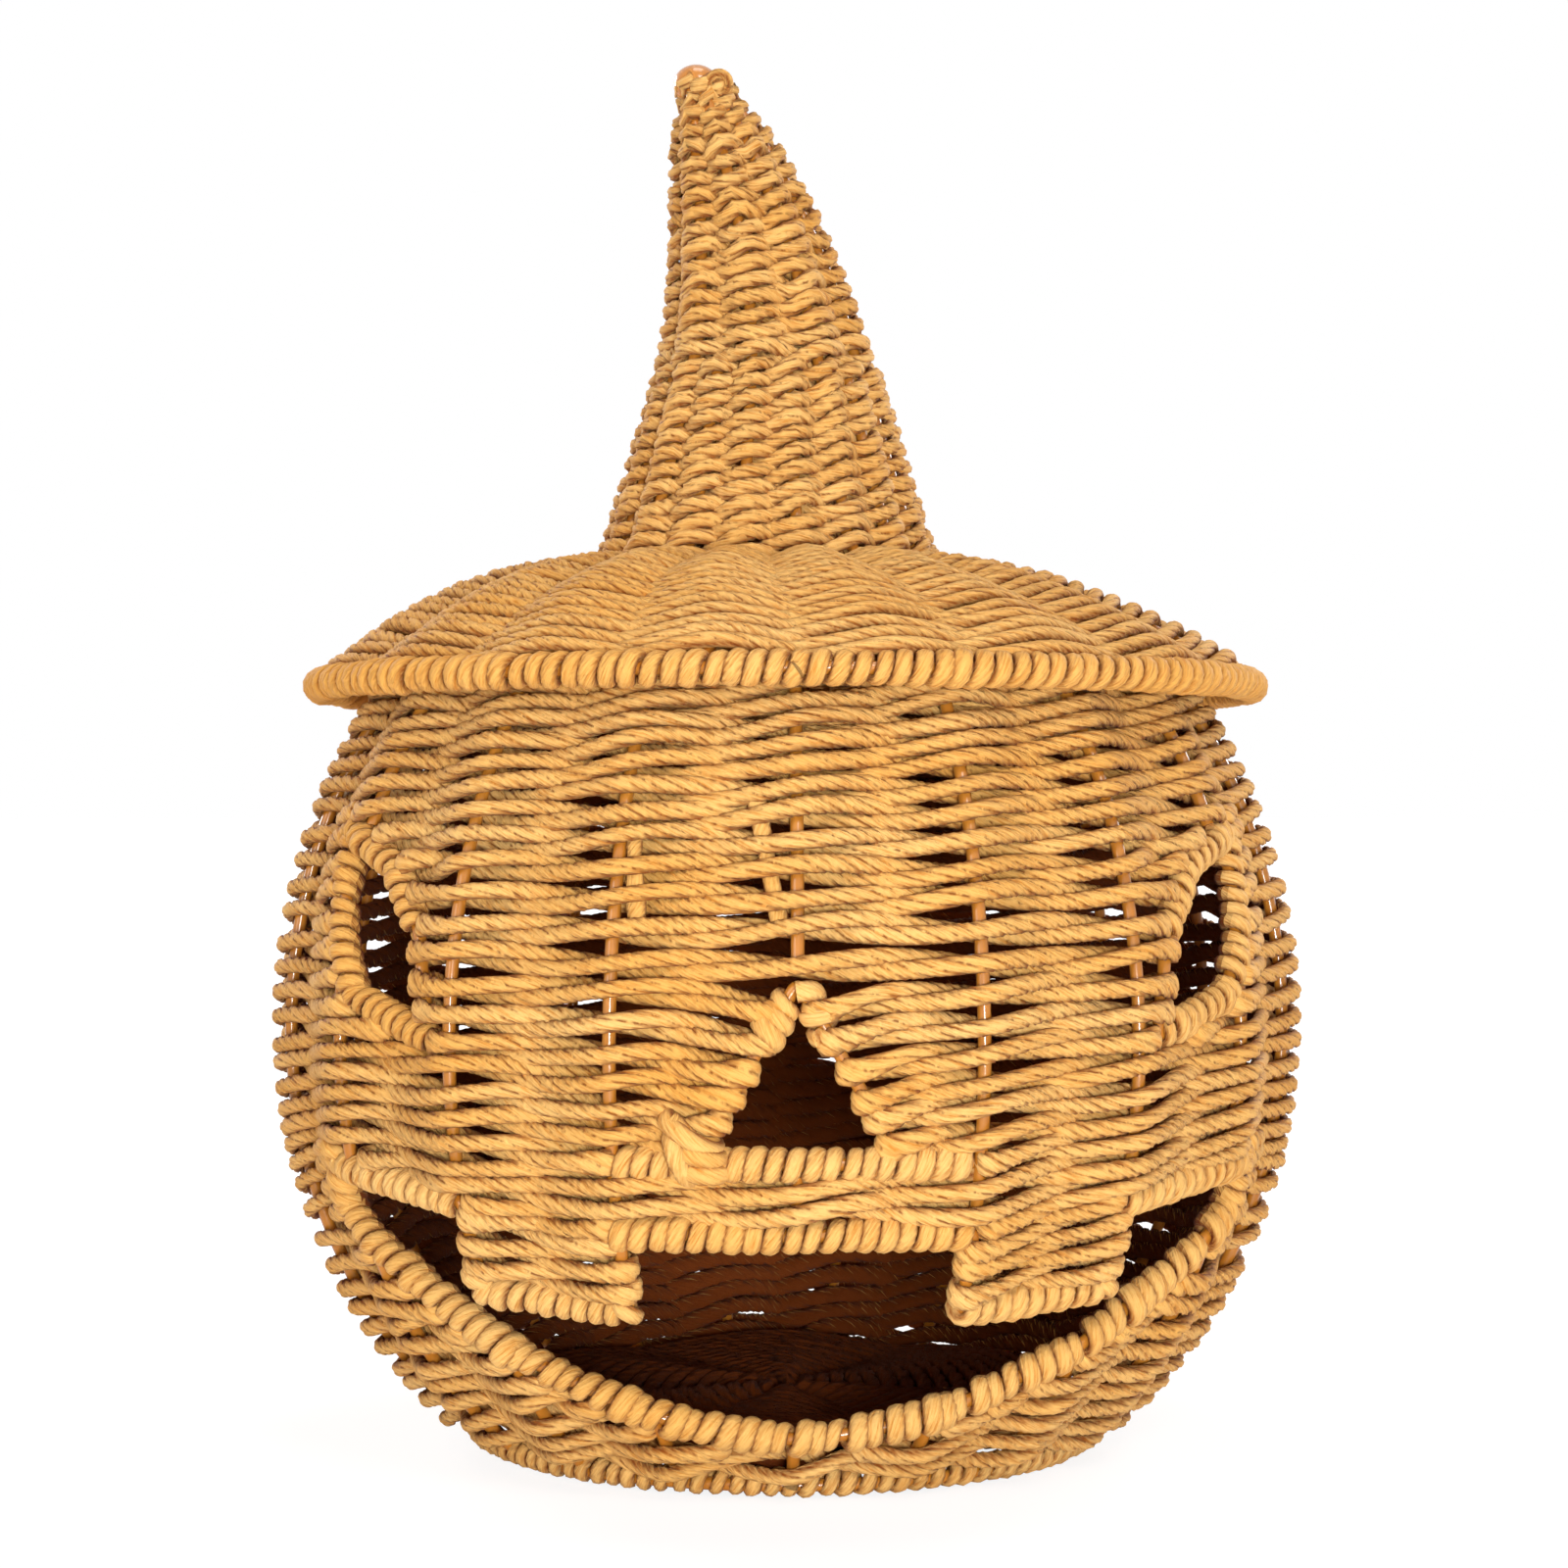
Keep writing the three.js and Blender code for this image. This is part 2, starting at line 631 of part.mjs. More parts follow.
const openings = [
  wallCutter(mouthOutline),
  wallCutter(eyeRight),
  wallCutter(mirrored(eyeRight)),
  wallCutter(noseOutline),
  wallCutter(noseBarOutline, GAP),
];
const wovenWall = trimProfile(wall, WEAVE_FROM_RING, WEAVE_FROM_RING);
const cutOpen = (shell) => openings.reduce((rest, cutter) => rest.subtract(cutter), toSolid(shell));
const outerPass = cutOpen(weaveShell(wovenWall, INNER_FACE, OUTER_FACE, RIB_COUNT));
const innerPass = cutOpen(weaveShell(wovenWall, -OUTER_FACE, -INNER_FACE, RIB_COUNT));
addPiece(basket, 'wall_weave_outer', fromSolid(outerPass), CORD);
addPiece(basket, 'wall_weave_inner', fromSolid(innerPass), CORD);

// Face wires and the cord wound round them

function addWire(name, path) {
  addPiece(basket, name, closedBody(faceWire(path)), COATED_WIRE);
}

function addWrap(name, path) {
  addPiece(basket, name, closedBody(faceWrap(path)), CORD);
}

addWire('eye_right_wire', eyeRightPath);
addWrap('eye_right_wrap', eyeRightPath);
addWire('eye_left_wire', mirrored(eyeRightPath));
addWrap('eye_left_wrap', mirrored(eyeRightPath));
addWire('nose_wire', nosePath);
addWrap('nose_wrap', nosePath);
addWire('nose_bar_wire', noseBarPath);
addWrap('nose_bar_wrap', noseBarPath);

addWire('upper_mouth_wire', upperMouthEdge);
addWrap('upper_mouth_wrap', upperMouthEdge);
addWire('lower_lip_wire', lowerLipPath);
addWrap('lower_lip_wrap', lowerLipPath);

// Lid

const brimRadius = neckRing.x + BRIM_OVERHANG;
const brimDrop = (radius) => {
  const share = (radius - CROWN_RADIUS) / (brimRadius - CROWN_RADIUS);
  return DOME_RISE * (1 - share ** DOME_POWER);
};
const brimAtZero = Array.from({ length: BRIM_STEPS + 1 }, (_, i) => {
  const share = (i / BRIM_STEPS) ** BRIM_STEP_POWER;
  const radius = brimRadius + (CROWN_RADIUS - brimRadius) * share;
  return new THREE.Vector2(radius, brimDrop(radius));
});

// The lid rests on the neck: its underside passes just over the cord wound round the neck ring.
const seatLine = offsetProfile(brimAtZero, -(OUTER_FACE + GAP + NECK_WRAP));
const overNeck = seatLine.findIndex((point) => point.x < neckRing.x);
const seatShare =
  (seatLine[overNeck - 1].x - neckRing.x) / (seatLine[overNeck - 1].x - seatLine[overNeck].x);
const seatPoint = seatLine[overNeck - 1].clone().lerp(seatLine[overNeck], seatShare);
const brimHeight = neckRing.y - seatPoint.y;
const brim = brimAtZero.map((point) => new THREE.Vector2(point.x, point.y + brimHeight));
const crown = brim[BRIM_STEPS];
const peakBase = crown.y + PEAK_RISE;
const peak = PEAK_RADII.map((radius, i) => new THREE.Vector2(radius, peakBase + PEAK_RISES[i]));
const peakTop = peak[peak.length - 1];
const tipHeight = peakTop.y + TIP_RISE;

// Sideways shift of the lid at a height: the crown sits a little off centre and the peak leans.
function leanAt(height) {
  const crownShare = THREE.MathUtils.smoothstep(height, brimHeight + BRIM_WRAP, crown.y);
  const start = peakBase + LEAN_START;
  const share = Math.max(0, (height - start) / (tipHeight - start));
  return -CROWN_SHIFT * crownShare - PEAK_LEAN * share ** LEAN_POWER;
}

function leaned(geometry) {
  const positions = geometry.attributes.position;
  for (let i = 0; i < positions.count; i += 1) {
    positions.setX(i, positions.getX(i) + leanAt(positions.getZ(i)));
  }
  return geometry;
}

const brimRing = ringBeyond(brim[0], brim[1]);
const brimRingSteps = 2 * LID_WIRES;
addPiece(lid, 'brim_ring_wire', closedBody(wireRing(brimRing, brimRingSteps)), COATED_WIRE);
const brimWrap = woundRing(brimRing, brim[0], BRIM_WRAP, brimRingSteps);
addPiece(lid, 'brim_ring_wrap', closedBody(brimWrap), CORD);

// The cord of the brim and of the peak stops short of the bend between them.
const wovenBrim = trimProfile(brim, WEAVE_FROM_RING, WEAVE_PASS);
const brimTop = weaveShell(wovenBrim, INNER_FACE, OUTER_FACE, brimRingSteps);
const brimUnder = weaveShell(wovenBrim, -OUTER_FACE, -INNER_FACE, brimRingSteps);
addPiece(lid, 'brim_weave_top', closedBody(leaned(brimTop)), CORD);
addPiece(lid, 'brim_weave_under', closedBody(leaned(brimUnder)), CORD);

const longWirePitch = 720 / LID_WIRES;
const longWireStart = -LID_WIRE_ANGLE;
const peakSteps = LID_WIRES;
const wovenPeak = trimProfile([crown, ...peak], WEAVE_PASS, PEAK_TOP_MARGIN);
const innerPeak = clipProfile(wovenPeak, wovenPeak[0].y, peakTop.y - INNER_PEAK_CUT);
const peakOuter = weaveShell(wovenPeak, INNER_FACE, OUTER_FACE, peakSteps, longWireStart);
const peakInner = weaveShell(innerPeak, -OUTER_FACE, -INNER_FACE, peakSteps, longWireStart);
addPiece(lid, 'peak_weave_outer', closedBody(leaned(peakOuter)), CORD);
addPiece(lid, 'peak_weave_inner', closedBody(leaned(peakInner)), CORD);

// Half of the lid's wires end at the crown ring; the others run up the peak to its tip.
const crownRingReach = WIRE + CROWN_RING_CLEARANCE;
const crownRing = crown.clone().add(new THREE.Vector2(
  crownRingReach * Math.cos(radians(CROWN_RING_ANGLE)),
  crownRingReach * Math.sin(radians(CROWN_RING_ANGLE)),
));
const tipEnd = new THREE.Vector2(TIP_WIRE_RADIUS, tipHeight - TIP_HEIGHT);
const shortWires = [];
const longWires = [];
for (let i = 0; i < LID_WIRES / 2; i += 1) {
  const angle = longWireStart + i * longWirePitch;
  shortWires.push(meridianWire([...brim, crownRing], angle + longWirePitch / 2));
  longWires.push(meridianWire([...brim, ...peak, tipEnd], angle));
}
const crownFrame = weld([wireRing(crownRing, brimRingSteps), ...shortWires]);
addPiece(lid, 'crown_frame', leaned(crownFrame), COATED_WIRE);

const tipBead = new THREE.SphereGeometry(1, TIP_STEPS, TIP_STEPS / 2);
tipBead.rotateX(Math.PI / 2);
tipBead.scale(TIP_RADIUS, TIP_RADIUS, TIP_HEIGHT);
tipBead.translate(0, 0, tipHeight - TIP_HEIGHT);
addPiece(lid, 'peak_frame', leaned(weld([tipBead, ...longWires])), COATED_WIRE);

const pumpkinBasket = new THREE.Group();
pumpkinBasket.add(basket);
pumpkinBasket.add(lid);

export default pumpkinBasket;
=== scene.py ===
import math

import bmesh
import bpy
import numpy as np
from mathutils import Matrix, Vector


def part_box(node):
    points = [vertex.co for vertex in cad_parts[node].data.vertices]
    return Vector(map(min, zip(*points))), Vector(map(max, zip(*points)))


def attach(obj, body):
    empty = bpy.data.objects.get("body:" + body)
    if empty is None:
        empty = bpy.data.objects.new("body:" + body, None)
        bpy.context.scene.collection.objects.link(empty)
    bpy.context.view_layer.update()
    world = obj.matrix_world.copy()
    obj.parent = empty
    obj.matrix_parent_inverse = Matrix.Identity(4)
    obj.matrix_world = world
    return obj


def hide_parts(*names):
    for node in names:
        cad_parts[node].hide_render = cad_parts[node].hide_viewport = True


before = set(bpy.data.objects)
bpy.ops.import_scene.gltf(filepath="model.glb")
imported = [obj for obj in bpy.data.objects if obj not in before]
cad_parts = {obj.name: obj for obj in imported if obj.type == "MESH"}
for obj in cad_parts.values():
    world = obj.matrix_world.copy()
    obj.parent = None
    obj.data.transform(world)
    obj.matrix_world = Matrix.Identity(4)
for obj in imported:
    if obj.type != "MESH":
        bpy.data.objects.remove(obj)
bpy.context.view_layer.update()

# Welded frame. It is 3 mm steel wire, bent over a form into rings, upright ribs and the outlines of
# the eyes, nose and mouth, welded where the wires meet and dipped in a glossy tan coat. Lengths are
# in millimetres, and angles in degrees from the front round to the viewer's right.
MM = 0.001
WIRE_RADIUS = 1.5
WIRE_SIDES = 12
WIRE_STEP, LINE_STEP = 2.0, 1.0
BEND_SOFTNESS = 5
COAT_PATCHES_PER_MM, COAT_RIPPLES_PER_MM = 0.09, 0.4
STUB_FOOT = 3.0
RIB_COUNT = 19
RIB_PITCH = 360 / RIB_COUNT
BELLY_RADIUS = 123.6
BELLY_HEIGHT = 104.0
BELLY_TO_BOTTOM = 128.5
BELLY_TO_TOP = 135.0
RIB_1, RIB_2, RIB_3 = RIB_PITCH, 2 * RIB_PITCH, 3 * RIB_PITCH
NOSE_FOOT, NOSE_FOOT_HEIGHT, NOSE_APEX_HEIGHT = 9.9, 83.5, 119.5
NOSE_BAR_END, NOSE_BAR_HEIGHT = 18.1, 80.5
LIP_HEIGHT, TOOTH_INNER_HEIGHT, TOOTH_OUTER_HEIGHT, CHEEK_HEIGHT = 65.0, 47.0, 49.5, 69.5
CORNER_ANGLE, CORNER_HEIGHT, CORNER_TOP = 60.5, 74.5, 78.2
LOWER_LIP_HEIGHT, LOWER_LIP_RISE, LOWER_LIP_HALF_ANGLE, LOWER_LIP_POWER = 16.0, 48.0, 61.7, 1.9
LIP_POINTS = 37
EYE = [(61.5, 151.5), (59.0, 132.0), (54.0, 113.5), (41.0, 105.5), (44.0, 129.0), (50.0, 143.0)]
FOOT_RADIUS, FOOT_HEIGHT = 77.0, 2.9
FLOOR_HEIGHT, FLOOR_RING_RADIUS, FLOOR_RADIUS, FLOOR_SPOKES = 8.8, 40.0, 75.0, 6


def add_node(tree, kind, inputs=None, **settings):
    made = tree.nodes.new(kind)
    for name, value in settings.items():
        setattr(made, name, value)
    for key, value in (inputs or {}).items():
        if isinstance(value, bpy.types.NodeSocket):
            tree.links.new(value, made.inputs[key])
        else:
            made.inputs[key].default_value = value
    return made


def linear(hex_colour):
    channels = [int(hex_colour[i:i + 2], 16) / 255 for i in (1, 3, 5)]
    return [c / 12.92 if c <= 0.04045 else ((c + 0.055) / 1.055) ** 2.4 for c in channels] + [1.0]


def blend(tree, share, first, second):
    """Mixes two colours, from all of the first at 0 to all of the second at 1."""
    return add_node(tree, "ShaderNodeMix", {0: share, 6: first, 7: second},
                    data_type="RGBA").outputs[2]


def noise(tree, place, per_mm, **settings):
    """Cloudy variation, with so many patches to a millimetre."""
    return add_node(tree, "ShaderNodeTexNoise", {"Vector": place, "Scale": per_mm / MM,
                                                 **settings}).outputs["Fac"]


def new_material(name):
    material = bpy.data.materials.new(name)
    material.use_nodes = True
    return material, material.node_tree, material.node_tree.nodes["Principled BSDF"]


def new_tree(name, sizes):
    tree = bpy.data.node_groups.new(name, "GeometryNodeTree")
    tree.interface.new_socket("Centre lines", in_out="INPUT", socket_type="NodeSocketGeometry")
    for label, kind in sizes.items():
        tree.interface.new_socket(label, in_out="INPUT", socket_type=kind)
    tree.interface.new_socket("Piece", in_out="OUTPUT", socket_type="NodeSocketGeometry")
    return tree


def finish_tree(tree, geometry, material):
    """Smooths the swept geometry and covers it with its material."""
    real = add_node(tree, "GeometryNodeRealizeInstances", {"Geometry": geometry})
    smooth = add_node(tree, "GeometryNodeSetShadeSmooth", {"Geometry": real.outputs[0]})
    finished = add_node(tree, "GeometryNodeSetMaterial", {"Geometry": smooth.outputs[0],
                                                          "Material": material})
    add_node(tree, "NodeGroupOutput", {"Piece": finished.outputs[0]})
    return tree


def coated_steel():
    """Steel wire under a thick dipped coat: saturated tan, sharp white highlights, faint waviness."""
    material, tree, shader = new_material("dip-coated steel wire")
    place = add_node(tree, "ShaderNodeTexCoord").outputs["Object"]
    patches = noise(tree, place, COAT_PATCHES_PER_MM, Detail=3.0)
    coat = blend(tree, patches, linear("#b06a1c"), linear("#d08c34"))
    ripples = noise(tree, place, COAT_RIPPLES_PER_MM)
    bump = add_node(tree, "ShaderNodeBump", {"Height": ripples, "Strength": 0.15, "Distance": 0.3 * MM})
    tree.links.new(coat, shader.inputs["Base Color"])
    tree.links.new(bump.outputs[0], shader.inputs["Normal"])
    shader.inputs["Roughness"].default_value = 0.4
    shader.inputs["Specular IOR Level"].default_value = 0.2
    shader.inputs["Coat Weight"].default_value = 0.8
    shader.inputs["Coat Roughness"].default_value = 0.12
    return material


def wire_tree(material):
    """Sweeps a round section along each centre line."""
    tree = new_tree("bent wire", {"Radius": "NodeSocketFloat", "Sides": "NodeSocketInt"})
    given = add_node(tree, "NodeGroupInput")
    path = add_node(tree, "GeometryNodeMeshToCurve", {"Mesh": given.outputs["Centre lines"]})
    section = add_node(tree, "GeometryNodeCurvePrimitiveCircle",
                       {"Resolution": given.outputs["Sides"], "Radius": given.outputs["Radius"]})
    tube = add_node(tree, "GeometryNodeCurveToMesh", {"Curve": path.outputs[0], "Fill Caps": True,
                                                      "Profile Curve": section.outputs[0]})
    return finish_tree(tree, tube.outputs[0], material)


def centre_lines(name, lines):
    """A mesh of bare edges in metres. A line is its points, whether it closes, and its values."""
    points = np.concatenate([line["points"] for line in lines]) * MM
    edges = []
    first = 0
    for line in lines:
        count = len(line["points"])
        steps = np.arange(count if line["closed"] else count - 1)
        edges.append(np.stack([first + steps, first + (steps + 1) % count], 1))
        first += count
    mesh = bpy.data.meshes.new(name)
    mesh.from_pydata(points, np.concatenate(edges), [])
    for key, kind in (("lie", "FLOAT_VECTOR"), ("flat", "FLOAT"), ("girth", "FLOAT"),
                      ("twist", "FLOAT"), ("along", "FLOAT"), ("tone", "FLOAT")):
        if key in lines[0]:
            values = np.concatenate([line[key] for line in lines]).astype(np.float32)
            layer = mesh.attributes.new(key, kind, "POINT")
            layer.data.foreach_set("vector" if kind == "FLOAT_VECTOR" else "value", values.ravel())
    return mesh


def add_object(name, content):
    made = bpy.data.objects.new(name, content)
    bpy.context.scene.collection.objects.link(made)
    return made


def grow_piece(name, lines, tree, sizes, body, slot, *nodes):
    """Runs a tree on centre lines and keeps the result as a plain mesh on its body."""
    source = add_object(name + ".lines", centre_lines(name + ".lines", lines))
    modifier = source.modifiers.new("grow", "NODES")
    modifier.node_group = tree
    for item in tree.interface.items_tree:
        if item.in_out == "INPUT" and item.name in sizes:
            modifier[item.identifier] = sizes[item.name]
    evaluated = source.evaluated_get(bpy.context.evaluated_depsgraph_get())
    mesh = bpy.data.meshes.new_from_object(evaluated)
    source.modifiers.remove(modifier)
    bpy.data.objects.remove(source)
    piece = add_object(name, mesh)
    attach(piece, body)
    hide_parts(*nodes)
    return piece


def unit(vectors):
    return vectors / np.linalg.norm(vectors, axis=-1, keepdims=True)


def turned(azimuth, radius, height):
    angle = np.radians(azimuth)
    return np.stack(np.broadcast_arrays(radius * np.sin(angle), -radius * np.cos(angle), height), -1)


def on_wall(azimuth, height, out=0.0):
    """A point of the wall, straight between neighbouring ribs and oval from foot to neck."""
    azimuth, height, out = np.broadcast_arrays(np.asarray(azimuth, float), height, out)
    rise = (height - BELLY_HEIGHT) / np.where(height < BELLY_HEIGHT, BELLY_TO_BOTTOM, BELLY_TO_TOP)
    radius = BELLY_RADIUS * np.sqrt(1 - rise ** 2)
    half = np.where(height < BELLY_HEIGHT, BELLY_TO_BOTTOM, BELLY_TO_TOP)
    normal = unit(np.stack([radius / BELLY_RADIUS ** 2, (height - BELLY_HEIGHT) / half ** 2], -1))
    middle = np.mod(azimuth, RIB_PITCH) - RIB_PITCH / 2
    flat = math.cos(math.radians(RIB_PITCH / 2)) / np.cos(np.radians(middle))
    return turned(azimuth, (radius + normal[..., 0] * out) * flat, height + normal[..., 1] * out)


def wall_line(corners, softness=BEND_SOFTNESS, closed=False):
    """Angles and heights along a bent wire of the face, with its bends rounded as a jig leaves them."""
    corners = list(corners) + ([corners[0]] if closed else [])
    line = []
    for (a0, h0), (a1, h1) in zip(corners, corners[1:]):
        length = np.linalg.norm(on_wall(a0, h0) - on_wall(a1, h1))
        share = np.arange(0, 1, LINE_STEP / max(length, LINE_STEP))
        line += [(a0 + (a1 - a0) * s, h0 + (h1 - h0) * s) for s in share]
    line = np.array(line if closed else line + [corners[-1]])
    for _ in range(softness):
        if closed:
            line = (np.roll(line, 1, 0) + 2 * line + np.roll(line, -1, 0)) / 4
        else:
            line[1:-1] = (line[:-2] + 2 * line[1:-1] + line[2:]) / 4
    return line


def mirrored(corners):
    return [(-angle, height) for angle, height in reversed(corners)]


def lower_lip(angle):
    return LOWER_LIP_HEIGHT + LOWER_LIP_RISE * (np.abs(angle) / LOWER_LIP_HALF_ANGLE) ** LOWER_LIP_POWER


def path(points, closed=False):
    return {"points": np.asarray(points, float), "closed": closed}


steel = coated_steel()
wire = wire_tree(steel)
wire_sizes = {"Radius": WIRE_RADIUS * MM, "Sides": WIRE_SIDES}


def bend_wires(name, lines, body, *nodes):
    return grow_piece(name, lines, wire, wire_sizes, body, "coated_wire", *nodes)


def heights_of(node):
    low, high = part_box(node)
    return np.arange(low.z / MM, high.z / MM, WIRE_STEP)


def ring_of(node):
    """Centre radius and height of a ring of wire, from its box."""
    low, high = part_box(node)
    return (high.x / MM) - WIRE_RADIUS, (low.z + high.z) / 2 / MM


ribs = {"rib_front": 0.0, "rib_front_under_nose": 0.0,
        "rib_right_3_cheek": RIB_3, "rib_left_3_cheek": -RIB_3}
for number in range(1, (RIB_COUNT + 1) // 2):
    ribs[f"rib_right_{number}"] = number * RIB_PITCH
    ribs[f"rib_left_{number}"] = -number * RIB_PITCH
for node, azimuth in ribs.items():
    bend_wires("bent_" + node, [path(on_wall(azimuth, heights_of(node)))], "basket", node)

all_round = np.arange(0, 360, 1.0)
neck_radius, neck_height = ring_of("neck_ring_wire")
stubs = [path(on_wall(rib * RIB_PITCH, np.arange(STUB_FOOT, lower_lip(rib * RIB_PITCH), WIRE_STEP)))
         for rib in range(-3, 4)]
foot_ring = path(turned(all_round, FOOT_RADIUS, FOOT_HEIGHT), True)
bend_wires("welded_foot_frame", [foot_ring] + stubs, "basket", "foot_frame")
neck_ring = path(turned(all_round, neck_radius, neck_height), True)
bend_wires("neck_ring", [neck_ring], "basket", "neck_ring_wire")
spokes = [path(turned(np.array([a, a + 180]), FLOOR_RADIUS, FLOOR_HEIGHT))
          for a in np.arange(FLOOR_SPOKES / 2) * 360 / FLOOR_SPOKES]
floor_ring = path(turned(all_round, FLOOR_RING_RADIUS, FLOOR_HEIGHT), True)
bend_wires("welded_floor_frame", [floor_ring] + spokes, "basket", "floor_frame")

tooth_right = [(RIB_1, LIP_HEIGHT), (RIB_1, TOOTH_INNER_HEIGHT), (RIB_2, TOOTH_OUTER_HEIGHT),
               (RIB_2, CHEEK_HEIGHT)]
upper_mouth = ([(-CORNER_ANGLE, CORNER_HEIGHT)] + mirrored(tooth_right) + tooth_right
               + [(CORNER_ANGLE, CORNER_HEIGHT)])
lip_angles = np.linspace(LOWER_LIP_HALF_ANGLE, -LOWER_LIP_HALF_ANGLE, LIP_POINTS)
lower_mouth = ([(CORNER_ANGLE, CORNER_TOP)] + [(a, lower_lip(a)) for a in lip_angles]
               + [(-CORNER_ANGLE, CORNER_TOP)])
nose_legs = [(-NOSE_FOOT, NOSE_FOOT_HEIGHT), (0.0, NOSE_APEX_HEIGHT), (NOSE_FOOT, NOSE_FOOT_HEIGHT)]
nose_bar = [(-NOSE_BAR_END, NOSE_BAR_HEIGHT), (NOSE_BAR_END, NOSE_BAR_HEIGHT)]
face_wires = {"upper_mouth": (upper_mouth, False), "lower_lip": (lower_mouth, False),
              "nose": (nose_legs, False), "nose_bar": (nose_bar, False),
              "eye_right": (EYE, True), "eye_left": (mirrored(EYE), True)}
for name, (corners, closed) in face_wires.items():
    line = wall_line(corners, closed=closed)
    bend_wires("bent_" + name + "_wire", [path(on_wall(line[:, 0], line[:, 1]), closed)], "basket",
               name + "_wire")

# Wall weave. Two strands of twisted paper cord, about 4 mm thick, are twined round the ribs: each
# passes outside one rib and inside the next, and they cross in between. Where a course meets an
# opening it turns back round the wire there. The courses lie closest near the foot and the neck.
STREAKS_PER_MM, STREAK_LENGTH, CREASES_PER_MM, PATCHES_PER_MM = 1.5, 0.13, 0.38, 0.022
# Painted shade inside the basket: heights in millimetres below which the inward faces darken, and the
# radii and heights of the floor's painted shade.
SHADE_INSIDE_TOP, SHADE_INSIDE_FULL = 183, 179
FLOOR_SHADE_RADII, FLOOR_SHADE_HEIGHTS = (76, 73), (30, 20)
PLY_RADIUS = 2.06
PLY_WAIST = 0.79
CORD_SIDES = 16
SPREAD = 0.3
GIRTH_CHANGE, TWIST_CHANGE = 0.045, 0.4
WAVE_LENGTHS = [44.0, 107.0, 258.0, 31.0, 53.0, 82.0]
BACK_DEPTH = 70.0
PAPER_RUN, PALEST, DEEPEST = 400, 0.45, 0.1
SEAM_ANGLES = (90, 270)
SWING_CUT = 0.92
ROW_WANDER, ROW_WAVES = 0.38, (4, 9, 14)
CORD_STEP = 1.8
LAY_LENGTH = 20.0
OUT_OF_RIB = 3.3
TURN_BACK = 2.45
END_SWELL, END_FLAT = 0.45, 0.35
CROSSING_RISE = 1.6
SEED = 31
COURSES = [9.4, 13.9, 18.4, 22.9, 27.5, 32.2, 36.9, 41.7, 46.6, 51.9, 57.0, 61.9, 66.2, 70.5, 75.3,
           80.6, 86.3, 92.3, 98.2, 104.1, 110.3, 116.9, 123.2, 130.2, 137.0, 143.2, 149.2, 154.9,
           160.2, 165.2, 169.9, 174.3, 178.4, 182.2]
LEAST_RUN = 5.0
FOOT_GIRTH = 1.06
HALF_CROSSING = 0.45
RIB_MARGIN, EASE_LENGTH = 2.5, 8
TURN_POINTS = 9
BEND_SIDE_END = 100
BEND_START, BEND_EASING, BEND_LEFT, BEND_END, BASKET_TOP = 30.0, 100.0, 0.3, 130.0, 200.0
DIP_WIDTH, DIP_HEIGHTS, DIP_DEPTHS = 6.5, [80.6, 98, 116.8, 120], [0, 3.5, 4.8, 0]
FACE_SHARE = 0.97
LOOK_STEP = 0.2
EDGE_CLEARANCE = 3.8
EDGE_SHADE_DEPTH = 1.0
chance = np.random.default_rng(SEED)


def calculate(tree, operation, *values):
    return add_node(tree, "ShaderNodeMath", dict(enumerate(values)), operation=operation).outputs[0]


def combine(tree, operation, *values, result="Vector"):
    """Like calculate, for vectors. The result is a vector, or the value of a length or product."""
    made = add_node(tree, "ShaderNodeVectorMath", dict(enumerate(values)), operation=operation)
    return made.outputs[result]


def ramp(tree, value, start, end, low=0.0, high=1.0):
    """Turns a value between start and end into one between low and high."""
    return add_node(tree, "ShaderNodeMapRange", {"Value": value, "From Min": start, "From Max": end,
                                                 "To Min": low, "To Max": high}).outputs[0]


